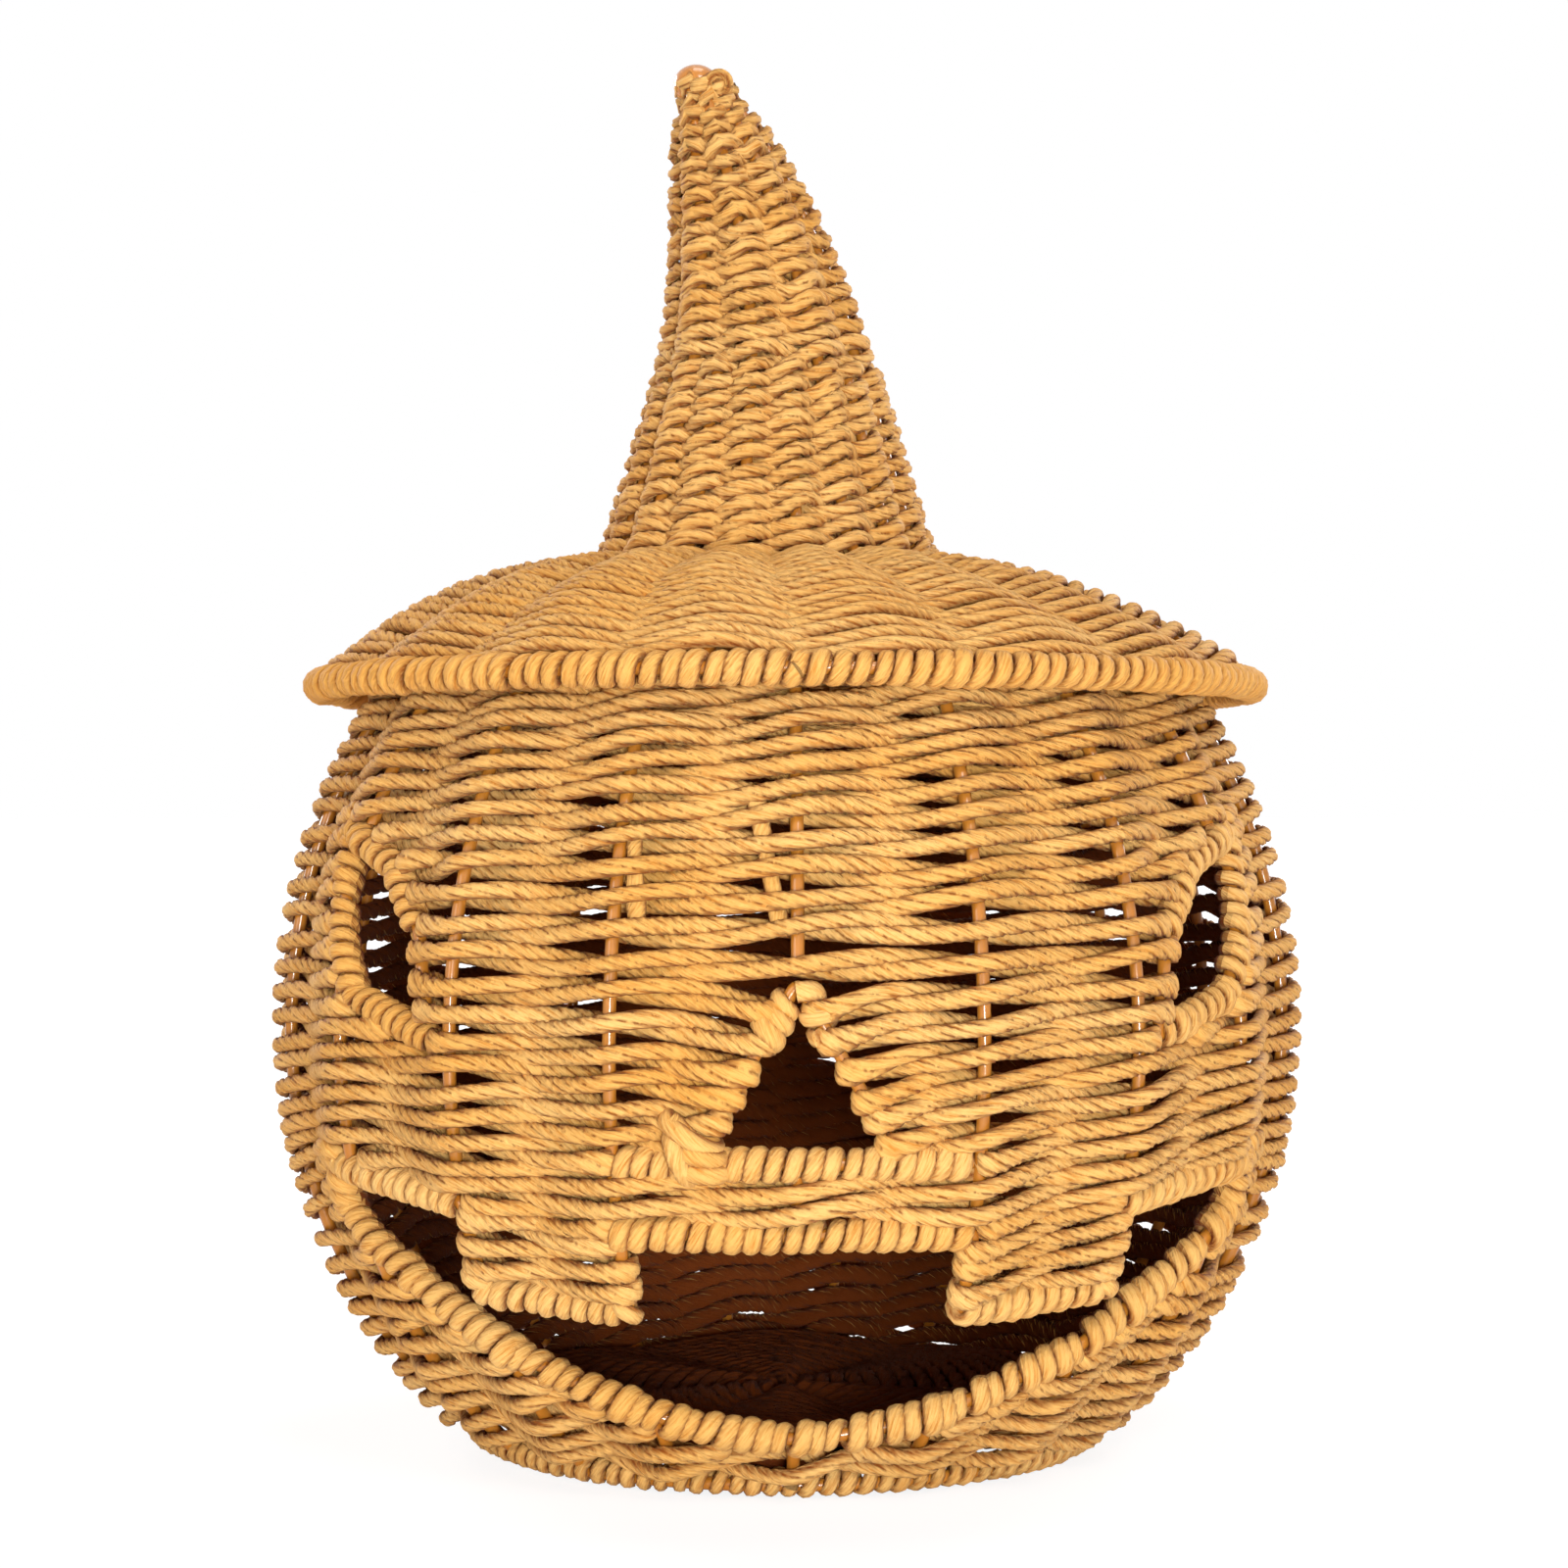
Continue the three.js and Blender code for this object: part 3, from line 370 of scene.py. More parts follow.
def paper_cord():
    """Kraft paper rolled and twisted into cord: dry and matte, creased across and streaked along, with
    painted shade: browner in the grooves between plies, along the sides of a cord and on the inside of
    the basket."""
    material, tree, shader = new_material("twisted kraft paper cord")

    def marked(name, output="Fac"):
        return add_node(tree, "ShaderNodeAttribute", attribute_name=name).outputs[output]

    fibre = marked("fibre", "Vector")
    drawn = combine(tree, "MULTIPLY", fibre, (1.0, 1.0, STREAK_LENGTH))
    streaks = noise(tree, drawn, STREAKS_PER_MM, Detail=4.0, Roughness=0.65)
    creases = noise(tree, fibre, CREASES_PER_MM, Detail=3.0, Distortion=1.2)
    place = add_node(tree, "ShaderNodeTexCoord").outputs["Object"]
    shade = calculate(tree, "ADD", noise(tree, place, PATCHES_PER_MM), marked("tone"))
    paper = blend(tree, ramp(tree, shade, 0.25, 1.15), linear("#e0a549"), linear("#f4cb80"))
    paper = blend(tree, ramp(tree, streaks, 0.3, 0.54), linear("#cc8632"), paper)
    # Painted shade: the grooves between plies are painted a darker brown, broken into dashes by the
    # creases.
    fold = ramp(tree, creases, 0.42, 0.62, 0.05)
    groove_shade = calculate(tree, "MULTIPLY", ramp(tree, marked("groove_shade"), 0.35, 1.0), fold)
    paper = blend(tree, groove_shade, paper, linear("#74360a"))
    # Painted shade: the sides of each cord, where the strands press against each other, are painted a
    # deeper brown.
    paper = blend(tree, marked("edge"), paper, linear("#863f06"))
    # Painted shade: faces turned in towards the axis below the neck, and the floor within the wall, are
    # painted dark brown as the shade inside the basket.
    from_axis = combine(tree, "MULTIPLY", place, (1.0, 1.0, 0.0))
    normal = add_node(tree, "ShaderNodeNewGeometry").outputs["True Normal"]
    facing = combine(tree, "DOT_PRODUCT", combine(tree, "NORMALIZE", from_axis), normal, result="Value")
    height = add_node(tree, "ShaderNodeSeparateXYZ", {0: place}).outputs["Z"]
    in_basket = ramp(tree, height, SHADE_INSIDE_TOP * MM, SHADE_INSIDE_FULL * MM)
    inside_shade = calculate(tree, "MULTIPLY", ramp(tree, facing, 0.0, -0.5), in_basket)
    away = combine(tree, "LENGTH", from_axis, result="Value")
    within, low = (ramp(tree, value, start * MM, end * MM)
                   for value, (start, end) in ((away, FLOOR_SHADE_RADII), (height, FLOOR_SHADE_HEIGHTS)))
    inside_shade = calculate(tree, "MAXIMUM", inside_shade, calculate(tree, "MULTIPLY", within, low))
    paper = blend(tree, inside_shade, paper, linear("#7a3808"))
    relief = calculate(tree, "ADD", streaks, creases)
    bump = add_node(tree, "ShaderNodeBump", {"Height": relief, "Strength": 1.0, "Distance": 0.6 * MM})
    tree.links.new(paper, shader.inputs["Base Color"])
    tree.links.new(bump.outputs[0], shader.inputs["Normal"])
    shader.inputs["Roughness"].default_value = 0.7
    shader.inputs["Specular IOR Level"].default_value = 0.15
    shader.inputs["Sheen Weight"].default_value = 0.05
    shader.inputs["Sheen Roughness"].default_value = 0.5
    return material


def cord_tree(material):
    """Sweeps a four-ply section along each centre line, twists it, flattens it where it lies, and
    marks the grooves between plies and the sides of the cord, where the paper's colour paints shade."""
    tree = new_tree("twisted cord", {"Ply Radius": "NodeSocketFloat", "Waist": "NodeSocketFloat",
                                     "Groove Shade": "NodeSocketFloat", "Sides": "NodeSocketInt"})
    given = add_node(tree, "NodeGroupInput")
    stored = {}
    for name, kind in (("girth", "FLOAT"), ("twist", "FLOAT"), ("flat", "FLOAT"),
                       ("along", "FLOAT"), ("lie", "FLOAT_VECTOR"), ("centre", "FLOAT_VECTOR"),
                       ("around", "FLOAT_VECTOR")):
        stored[name] = add_node(tree, "GeometryNodeInputNamedAttribute", {"Name": name},
                                data_type=kind).outputs[0]
    here = add_node(tree, "GeometryNodeInputPosition").outputs[0]

    def store(geometry, name, value, kind="FLOAT_VECTOR"):
        return add_node(tree, "GeometryNodeStoreNamedAttribute",
                        {"Geometry": geometry, "Name": name, "Value": value},
                        data_type=kind, domain="POINT").outputs[0]

    def four_plies(place, low, high):
        """How far out the section reaches: low between two plies and high over each."""
        x = add_node(tree, "ShaderNodeSeparateXYZ", {0: place}).outputs["X"]
        square = calculate(tree, "MULTIPLY", x, x)
        lobe = calculate(tree, "MULTIPLY_ADD", square, 8.0, -8.0)
        lobe = calculate(tree, "MULTIPLY_ADD", lobe, square, 1.0)
        return ramp(tree, lobe, -1.0, -0.2, low, high)

    line = add_node(tree, "GeometryNodeMeshToCurve", {"Mesh": given.outputs["Centre lines"]})
    twisted = add_node(tree, "GeometryNodeSetCurveTilt",
                       {"Curve": store(line.outputs[0], "centre", here), "Tilt": stored["twist"]})
    circle = add_node(tree, "GeometryNodeCurvePrimitiveCircle",
                      {"Resolution": given.outputs["Sides"], "Radius": 1.0})
    thick = calculate(tree, "MULTIPLY", stored["girth"], given.outputs["Ply Radius"])
    reach = four_plies(here, given.outputs["Waist"], 1.0)
    pressed = add_node(tree, "ShaderNodeVectorMath", {0: here, "Scale": reach}, operation="SCALE")
    section = add_node(tree, "GeometryNodeSetPosition",
                       {"Geometry": store(circle.outputs[0], "around", here),
                        "Position": pressed.outputs[0]})
    tube = add_node(tree, "GeometryNodeCurveToMesh",
                    {"Curve": twisted.outputs[0], "Profile Curve": section.outputs[0],
                     "Scale": thick, "Fill Caps": True})
    # Marks the sides of the cord as it lies, top and bottom, for the painted shade along them.
    off_centre = combine(tree, "SUBTRACT", here, stored["centre"])
    depth = combine(tree, "DOT_PRODUCT", off_centre, stored["lie"], result="Value")
    apart = calculate(tree, "DIVIDE", calculate(tree, "ABSOLUTE", depth), thick)
    edged = store(tube.outputs[0], "edge", ramp(tree, apart, 0.65, 0.05, 0.0, EDGE_SHADE_DEPTH), "FLOAT")
    back = calculate(tree, "MULTIPLY", calculate(tree, "MULTIPLY", depth, stored["flat"]), -1.0)
    shift = add_node(tree, "ShaderNodeVectorMath", {0: stored["lie"], "Scale": back},
                     operation="SCALE")
    laid = add_node(tree, "GeometryNodeSetPosition", {"Geometry": edged, "Offset": shift.outputs[0]})
    ring = add_node(tree, "ShaderNodeSeparateXYZ", {0: stored["around"]})
    side, front = (calculate(tree, "MULTIPLY", ring.outputs[axis], given.outputs["Ply Radius"])
                   for axis in "XY")
    fibre = add_node(tree, "ShaderNodeCombineXYZ", {0: side, 1: front, 2: stored["along"]})
    geometry = store(laid.outputs[0], "fibre", fibre.outputs[0])
    # How deep each point lies in a groove between plies, for the painted shade there.
    groove_shade = four_plies(stored["around"], given.outputs["Groove Shade"], 0.0)
    geometry = store(geometry, "groove_shade", groove_shade, "FLOAT")
    for name in stored:
        geometry = add_node(tree, "GeometryNodeRemoveAttribute",
                            {"Geometry": geometry, "Name": name}).outputs[0]
    return finish_tree(tree, geometry, material)


paper = paper_cord()
twisted_cord = cord_tree(paper)


def cord(points, out, closed=False, flat=0.2, girth=1.0, lay=LAY_LENGTH, spread=0.0):
    """A length of cord: its centre line, the side that it is pressed flat against, and its twist.
    Round the back of the basket it is beaten flatter and wider."""
    points = np.asarray(points, float)
    count = len(points)
    steps = np.linalg.norm(np.diff(points, axis=0), axis=1)
    run = np.concatenate([[0.0], np.cumsum(steps)])
    total = run[-1] + (np.linalg.norm(points[0] - points[-1]) if closed else 0.0)
    turns = max(1, round(total / lay))
    start = chance.uniform(0, 2 * math.pi)
    phases = chance.uniform(0, 2 * math.pi, 6)
    waves = np.maximum(1, np.round(total / np.array(WAVE_LENGTHS)))
    uneven, slack = np.sin(2 * math.pi * waves[:, None] * run / total + phases[:, None]).reshape(
        2, 3, count).sum(1)
    back = spread * np.clip(points[:, 1] / BACK_DEPTH, 0, 1)
    return {"points": points, "closed": closed, "lie": out, "flat": flat + back,
            "girth": girth * (1 + GIRTH_CHANGE * uneven + back),
            "twist": start + 2 * math.pi * turns * run / total + TWIST_CHANGE * slack,
            "along": (run + chance.uniform(0, PAPER_RUN)) * MM,
            "tone": np.full(count, chance.uniform(DEEPEST, PALEST))}


def lay_cords(name, cords, body, *nodes, waist=PLY_WAIST, groove_shade_strength=1.0, sides=CORD_SIDES):
    sizes = {"Ply Radius": PLY_RADIUS * MM, "Waist": waist, "Groove Shade": groove_shade_strength, "Sides": sides}
    return grow_piece(name, cords, twisted_cord, sizes, body, "paper_cord", *nodes)


def strand(place, angle, phase, reach, rise):
    """One strand of a course, outside the wires at whole turns of the phase and inside at halves."""
    swing = np.arcsin(SWING_CUT * np.cos(phase)) / math.asin(SWING_CUT)
    out = reach * swing
    lift = rise * np.sin(phase)
    points = place(angle, out, lift)
    return points, unit(place(angle, out + 1, lift) - points)


def whole_course(place, pitch, count, radius, reach=OUT_OF_RIB, rise=CROSSING_RISE, start=0.0, **kind):
    """A course right round: one strand twice round where the wires are odd, otherwise two strands."""
    turns = 2 if count % 2 else 1
    steps = round(2 * math.pi * radius * turns / CORD_STEP)
    angle = chance.uniform(*SEAM_ANGLES) + np.linspace(0, 360 * turns, steps, endpoint=False)
    cords = []
    for side in range(3 - turns):
        phase = math.pi * ((angle - start) / pitch + side)
        points, outward = strand(place, angle, phase, reach, rise)
        cords.append(cord(points, outward, True, **kind))
    return cords


def part_course(place, low, high, radius, wires, thick=1.0, **kind):
    """A course between two openings: out along one strand, back round the wire on the other."""
    inner = [wire for wire in wires if low + RIB_MARGIN < wire < high - RIB_MARGIN]
    stops = [low] + inner + [high]
    turns = [0.0]
    for here, there in zip(stops, stops[1:]):
        turns.append(turns[-1] + (1.0 if there - here > HALF_CROSSING * RIB_PITCH else 0.0))
    step = math.degrees(CORD_STEP / radius)
    angle = np.linspace(low, high, max(4, int((high - low) / step)))
    phase = math.pi * np.interp(angle, stops, turns)
    ease = np.clip(np.minimum(angle - low, high - angle) * math.radians(radius) / EASE_LENGTH, 0, 1)
    reach = TURN_BACK + (OUT_OF_RIB - TURN_BACK) * ease
    first, first_out = strand(place, angle, phase, reach, CROSSING_RISE)
    second, second_out = strand(place, angle, phase + math.pi, reach, CROSSING_RISE)
    round_wire = np.linspace(0, math.pi, TURN_POINTS)[1:-1]

    def turn_back(end, side, direction):
        out = TURN_BACK * side * np.cos(round_wire)
        past = direction * np.degrees(TURN_BACK * np.sin(round_wire) / radius)
        points = place(end + past, out, 0 * out)
        return points, unit(points - place(end + 0 * past, 0 * out, 0 * out))

    right, right_out = turn_back(high, math.cos(math.pi * turns[-1]), 1)
    left, left_out = turn_back(low, -1.0, -1)
    points = np.concatenate([left, first, right, second[::-1]])
    outward = np.concatenate([left_out, first_out, right_out, second_out[::-1]])
    at_wire = np.zeros(len(round_wire))
    near_end = 1 - np.concatenate([at_wire, ease, at_wire, ease[::-1]])
    return [cord(points, outward, True, flat=0.2 + END_FLAT * near_end,
                 girth=thick * (1 + END_SWELL * near_end), **kind)]


def bent_course(angle, base):
    """The height of a course: it follows the top of the mouth and dips beside the nose."""
    side = np.abs((np.asarray(angle, float) + 180) % 360 - 180)
    top = np.interp(side, [RIB_1, RIB_2, CORNER_ANGLE, BEND_SIDE_END],
                    [LIP_HEIGHT, CHEEK_HEIGHT, CORNER_HEIGHT, LIP_HEIGHT])
    tooth = np.interp(side, [RIB_1, RIB_2, CORNER_ANGLE],
                      [TOOTH_INNER_HEIGHT, TOOTH_OUTER_HEIGHT, TOOTH_INNER_HEIGHT])
    height = base + 0 * side
    knots = [(BEND_START, BEND_START + 0 * side), (TOOTH_INNER_HEIGHT, tooth), (LIP_HEIGHT, top),
             (BEND_EASING, BEND_EASING + BEND_LEFT * (top - LIP_HEIGHT)),
             (BEND_END, BEND_END + 0 * side), (BASKET_TOP, BASKET_TOP + 0 * side)]
    for (b0, h0), (b1, h1) in zip(knots, knots[1:]):
        if b0 <= base < b1:
            height = h0 + (h1 - h0) * (base - b0) / (b1 - b0)
    leg = NOSE_FOOT * np.clip((NOSE_APEX_HEIGHT - base) / (NOSE_APEX_HEIGHT - NOSE_FOOT_HEIGHT), 0, 1)
    near = np.exp(-(np.clip(side - leg, 0, None) / DIP_WIDTH) ** 2)
    dip = np.interp(base, DIP_HEIGHTS, DIP_DEPTHS)
    return height - dip * near


def distance_to(line, angle, height):
    """Least distance on the wall from each point to a wire of the face."""
    across = (angle[:, None] - line[None, :, 0]) * math.radians(1) * BELLY_RADIUS * FACE_SHARE
    up = height[:, None] - line[None, :, 1]
    return np.sqrt(across ** 2 + up ** 2).min(1)


def inside_outline(outline, angle, height):
    """Whether each point lies inside a closed outline of angles and heights."""
    inside = np.zeros(len(angle), bool)
    for (a0, h0), (a1, h1) in zip(outline, np.roll(outline, -1, 0)):
        if h0 != h1:
            crosses = (h0 > height) != (h1 > height)
            inside ^= crosses & (angle < a0 + (a1 - a0) * (height - h0) / (h1 - h0))
    return inside


mouth_outline = wall_line(upper_mouth[1:-1] + [(CORNER_ANGLE, CORNER_HEIGHT)]
                          + [(a, lower_lip(a)) for a in lip_angles]
                          + [(-CORNER_ANGLE, CORNER_HEIGHT)], 0, True)
nose_outline = wall_line(nose_legs, 0, True)
openings = [mouth_outline, nose_outline, wall_line(EYE, 0, True), wall_line(mirrored(EYE), 0, True)]
lip_bar = [(-RIB_1, LIP_HEIGHT), (RIB_1, LIP_HEIGHT)]
EYE_WHIPPED = EYE[4:] + EYE[:4]
whipped_edges = [lower_mouth, lip_bar, nose_bar,
                 [(RIB_1, TOOTH_INNER_HEIGHT), (RIB_2, TOOTH_OUTER_HEIGHT)],
                 mirrored([(RIB_1, TOOTH_INNER_HEIGHT), (RIB_2, TOOTH_OUTER_HEIGHT)]),
                 [(RIB_2, CHEEK_HEIGHT), (CORNER_ANGLE, CORNER_HEIGHT)],
                 mirrored([(RIB_2, CHEEK_HEIGHT), (CORNER_ANGLE, CORNER_HEIGHT)]),
                 EYE_WHIPPED, mirrored(EYE_WHIPPED)]
whipped_lines = [wall_line(edge, 0) for edge in whipped_edges]


def wander_of_row():
    """How far a row strays from its even place, in slow waves right round."""
    starts = chance.uniform(0, 2 * math.pi, 3)

    def strayed(angle):
        return ROW_WANDER * sum(np.sin(np.radians(angle) * n + w) for n, w in zip(ROW_WAVES, starts))
    return strayed


def wall_course(base, thick=1.0):
    """All runs of one course: right round, or cut where it meets openings and whipped edges."""
    strayed = wander_of_row()

    def height_at(angle):
        return bent_course(angle, base) + strayed(angle)

    def place(angle, out, lift):
        return on_wall(angle, height_at(angle) + lift, out)

    angle = np.arange(-180, 180, LOOK_STEP)
    height = height_at(angle)
    free = np.ones(len(angle), bool)
    for outline in openings:
        free &= ~inside_outline(outline, angle, height)
    for line in whipped_lines:
        free &= distance_to(line, angle, height) > EDGE_CLEARANCE
    radius = float(np.linalg.norm(on_wall(0, base)[:2]))
    if free.all():
        return whole_course(place, RIB_PITCH, RIB_COUNT, radius, girth=thick, spread=SPREAD)
    wires = np.arange(-RIB_COUNT, 2 * RIB_COUNT) * RIB_PITCH
    edges = np.flatnonzero(np.diff(free.astype(int)))
    starts = [i + 1 for i in edges if free[i + 1]]
    ends = [i for i in edges if free[i]]
    cords = []
    for start in starts:
        low = angle[start]
        later = [angle[end] for end in ends if end > start]
        high = later[0] if later else angle[ends[0]] + 360
        if (high - low) * math.radians(radius) > LEAST_RUN:
            cords += part_course(place, low, high, radius, wires, thick, spread=SPREAD)
    return cords


bands = {"foot": (0, 5), "lip": (5, 9), "mouth": (9, 14), "nose": (14, 19), "eyes": (19, 24),
         "brow": (24, 29), "neck": (29, 34)}
for band, (first, last) in bands.items():
    thick = FOOT_GIRTH if band in ("foot", "lip") else 1.0
    cords = [length for base in COURSES[first:last] for length in wall_course(base, thick)]
    covered = ["wall_weave_outer", "wall_weave_inner"] + (["nose_wrap"] if band == "nose" else [])
    lay_cords("wall_weave_" + band, cords, "basket", *covered)

# Floor. The same cord is twined round the six floor spokes in rings, over and under them, and packed
# close from the middle to the wall.
FLOOR_FIRST, FLOOR_PITCH, FLOOR_MARGIN = 6.0, 4.45, 3
FLOOR_REACH, FLOOR_WAIST = 2.9, 0.7
SPOKE_PITCH = 360 / FLOOR_SPOKES


def floor_place(radius):
    def place(angle, out, lift):
        return turned(angle, radius + lift, FLOOR_HEIGHT + out)
    return place


floor_cords = []
for radius in np.arange(FLOOR_FIRST, FLOOR_RADIUS - FLOOR_MARGIN, FLOOR_PITCH):
    floor_cords += whole_course(floor_place(radius), SPOKE_PITCH, FLOOR_SPOKES, radius, FLOOR_REACH)
lay_cords("floor_weave", floor_cords, "basket", "floor_weave_top", "floor_weave_under",
          waist=FLOOR_WAIST)

# Whipping. Cord is wound tight round the foot ring, the neck ring and the bare edges of the face, so
# that no steel shows there. A turn is pressed flat against the wire and its neighbours.
WHIP_PITCH = 4.1
WHIP_REACH = 2.7
WHIP_FLAT = 0.3
WHIP_STEP = 1.4
WHIP_LAY = 34.0
WHIP_WAIST, WHIP_GROOVE_SHADE = 0.92, 0.35
WHIP_WAVES = (0.13, 0.29, 0.41, 0.077)
ABOUT_TWO_PI = 6.3
CROWDING = 1.5
FOOT_PITCH, FOOT_REACH, FOOT_CORD, FOOT_LIFT = 4.2, 2.3, 0.88, 0.9
NECK_PITCH, NECK_REACH, NECK_CORD = 3.6, 2.5, 0.8
RING_SIDES = 8
LIP_LOOSE = 0.24
TOOTH_CORNER = 4
EYE_PITCH, EYE_CORD, EYE_LOOSE = 3.9, 0.84, 0.15


def whip(centres, sideways, outward, pitch, closed=False, reach=WHIP_REACH, girth=1.0, loose=0.1):
    """A coil round a wire, given its centre line and the two directions across it."""
    length = np.concatenate([[0], np.cumsum(np.linalg.norm(np.diff(centres, axis=0), axis=1))])
    total = length[-1] + (np.linalg.norm(centres[0] - centres[-1]) if closed else 0)
    turns = max(1, round(total / pitch))
    around = 2 * math.pi * math.hypot(reach, pitch / ABOUT_TWO_PI)
    share = np.linspace(0, 1, int(turns * around / WHIP_STEP), endpoint=not closed)
    wobble = chance.uniform(0, 2 * math.pi, len(WHIP_WAVES))
    uneven = sum(np.sin(2 * math.pi * turns * share * n + w)
                 for n, w in zip(WHIP_WAVES, wobble)) / len(WHIP_WAVES)
    at = share * total
    if closed:
        length = np.append(length, total)
        centres = np.append(centres, centres[:1], 0)
        sideways = np.append(sideways, sideways[:1], 0)
        outward = np.append(outward, outward[:1], 0)

    def along(values):
        return np.stack([np.interp(at, length, values[:, i]) for i in range(3)], 1)

    turn = 2 * math.pi * (turns * share + loose * CROWDING * uneven)
    away = np.cos(turn)[:, None] * along(sideways) + np.sin(turn)[:, None] * along(outward)
    swell = reach * (1 + loose * uneven)
    points = along(centres) + away * swell[:, None]
    return cord(points, away, closed, flat=WHIP_FLAT, girth=girth * (1 + loose * uneven), lay=WHIP_LAY)


def whip_on(name, coils, body, *nodes, **kind):
    return lay_cords(name, coils, body, *nodes, waist=WHIP_WAIST, groove_shade_strength=WHIP_GROOVE_SHADE, **kind)


def whip_ring(radius, height, pitch, reach, girth):
    outward = turned(all_round, 1.0, 0.0)
    upward = np.tile([0.0, 0.0, 1.0], (len(all_round), 1))
    return whip(turned(all_round, radius, height), outward, upward, pitch, True, reach, girth)


def whip_edge(corners, pitch=WHIP_PITCH, softness=BEND_SOFTNESS, **kind):
    line = wall_line(corners, softness)
    centres = on_wall(line[:, 0], line[:, 1])
    outward = unit(on_wall(line[:, 0], line[:, 1], 1.0) - centres)
    sideways = unit(np.cross(np.gradient(centres, axis=0), outward))
    return whip(centres, sideways, outward, pitch, **kind)


foot_turns = whip_ring(FOOT_RADIUS, FOOT_HEIGHT + FOOT_LIFT, FOOT_PITCH, FOOT_REACH, FOOT_CORD)
whip_on("foot_whipping", [foot_turns], "basket", "foot_ring_wrap", sides=RING_SIDES)
neck_turns = whip_ring(neck_radius, neck_height, NECK_PITCH, NECK_REACH, NECK_CORD)
whip_on("neck_whipping", [neck_turns], "basket", "neck_ring_wrap", sides=RING_SIDES)
tooth_bottom = [(RIB_1, TOOTH_INNER_HEIGHT + TOOTH_CORNER), (RIB_1, TOOTH_INNER_HEIGHT),
                (RIB_2, TOOTH_OUTER_HEIGHT), (RIB_2, TOOTH_OUTER_HEIGHT + TOOTH_CORNER)]
cheek = [(RIB_2, CHEEK_HEIGHT), (CORNER_ANGLE, CORNER_HEIGHT)]
mouth_whips = [whip_edge(edge) for edge in (lip_bar, tooth_bottom, mirrored(tooth_bottom), cheek,
                                            mirrored(cheek))]
whip_on("upper_mouth_whipping", mouth_whips, "basket", "upper_mouth_wrap")
whip_on("lower_lip_whipping", [whip_edge(lower_mouth, loose=LIP_LOOSE)], "basket", "lower_lip_wrap")
whip_on("nose_bar_whipping", [whip_edge(nose_bar)], "basket", "nose_bar_wrap")
for side, corners in (("right", EYE_WHIPPED), ("left", mirrored(EYE_WHIPPED))):
    eye_turns = whip_edge(corners, pitch=EYE_PITCH, girth=EYE_CORD, loose=EYE_LOOSE)
    whip_on(f"eye_{side}_whipping", [eye_turns], "basket", f"eye_{side}_wrap")

# Loose turns at the nose. A few turns of cord are wound over the top of the nose, and the cord of the
# nose bar is knotted round the foot of the left leg. Flattened cord ends hang beside the knot and
# beside two ribs.
LEG_PITCH, LEG_LOOSE = 4.4, 0.2
# Side of the nose, and where the turns start and end as shares of its leg
LEG_TURNS = [(-1, 0.10, 0.38), (1, 0.04, 0.30)]
# Angle, height, tilt and half length of each loop of the knot
KNOT_LOOPS = [(-11.6, 82.4, -20.0, 5.4), (-9.6, 83.4, -75.0, 4.6), (-9.5, 79.9, -82.0, 4.6),
              (-10.6, 87.3, -58.0, 6.4)]
KNOT_DEPTH, KNOT_OUT, KNOT_FLAT, KNOT_CORD, KNOT_POINTS = 5.0, 0.8, 0.25, 1.05, 33
# Upper end, lower end and distance from the wall of each loose cord end
TAILS = [((-17.3, 149.0), (-16.3, 131.0), 1.3), ((-4.4, 158.5), (-1.6, 130.0), 1.3),
         ((-12.4, 91.2), (-10.4, 87.2), 4.6)]
TAIL_FLAT, TAIL_LAY, TAIL_POINTS = 0.5, 70.0, 16
leg_whips = []
for hand, near, far in LEG_TURNS:
    ends = [(hand * NOSE_FOOT * s, NOSE_APEX_HEIGHT + (NOSE_FOOT_HEIGHT - NOSE_APEX_HEIGHT) * s)
            for s in (near, far)]
    leg_whips.append(whip_edge(ends, pitch=LEG_PITCH, softness=1, loose=LEG_LOOSE))
whip_on("nose_apex_turns", leg_whips, "basket", "nose_wrap")
knot = []
for azimuth, height, tilt, tall in KNOT_LOOPS:
    turn = np.linspace(0, 2 * math.pi, KNOT_POINTS)[:-1]
    lean = math.radians(tilt)
    up = tall * np.cos(turn)
    across = np.degrees(up * math.sin(lean) / BELLY_RADIUS)
    out = KNOT_OUT + KNOT_DEPTH * np.sin(turn)
    points = on_wall(azimuth + across, height + up * math.cos(lean), out)
    away = unit(points - on_wall(azimuth, height, KNOT_OUT))
    knot.append(cord(points, away, True, flat=KNOT_FLAT, girth=KNOT_CORD, lay=WHIP_LAY))
whip_on("nose_bar_knot", knot, "basket", "nose_bar_wrap")
tails = []
for (a0, h0), (a1, h1), out in TAILS:
    share = np.linspace(0, 1, TAIL_POINTS)
    azimuth = a0 + (a1 - a0) * share
    height = h0 + (h1 - h0) * share
    points = on_wall(azimuth, height, out)
    away = unit(on_wall(azimuth, height, out + 1) - points)
    tails.append(cord(points, away, flat=TAIL_FLAT, lay=TAIL_LAY))
whip_on("loose_cord_ends", tails, "basket", "wall_weave_outer")

# Lid frame. Eighteen wires run in from the brim's ring. Nine stop a third of the way up the peak, and
# nine are welded into a coated metal bead at its tip. The whole hat bends to one side.
LID_WIRES, LID_WIRE_ANGLE = 18, 10.0
SHORT_WIRE_TOP, LONG_WIRE_TOP = 44.0, 117.0
BRIM_RADIUS, BRIM_HEIGHT, BRIM_WIRE_END = 113.0, 188.2, 44
CROWN_RADIUS, DOME_RISE, DOME_POWER = 42.0, 26.0, 1.9
CROWN_RING_RADIUS, CROWN_RING_HEIGHT = 39.6, 211.2
PEAK_BASE = 221.2
PEAK_RADII = [42.0, 37.6, 28.7, 22.6, 15.9, 10.7, 5.6]
PEAK_RISES = [-7.0, 0.0, 30.0, 50.0, 79.0, 99.0, 113.0]
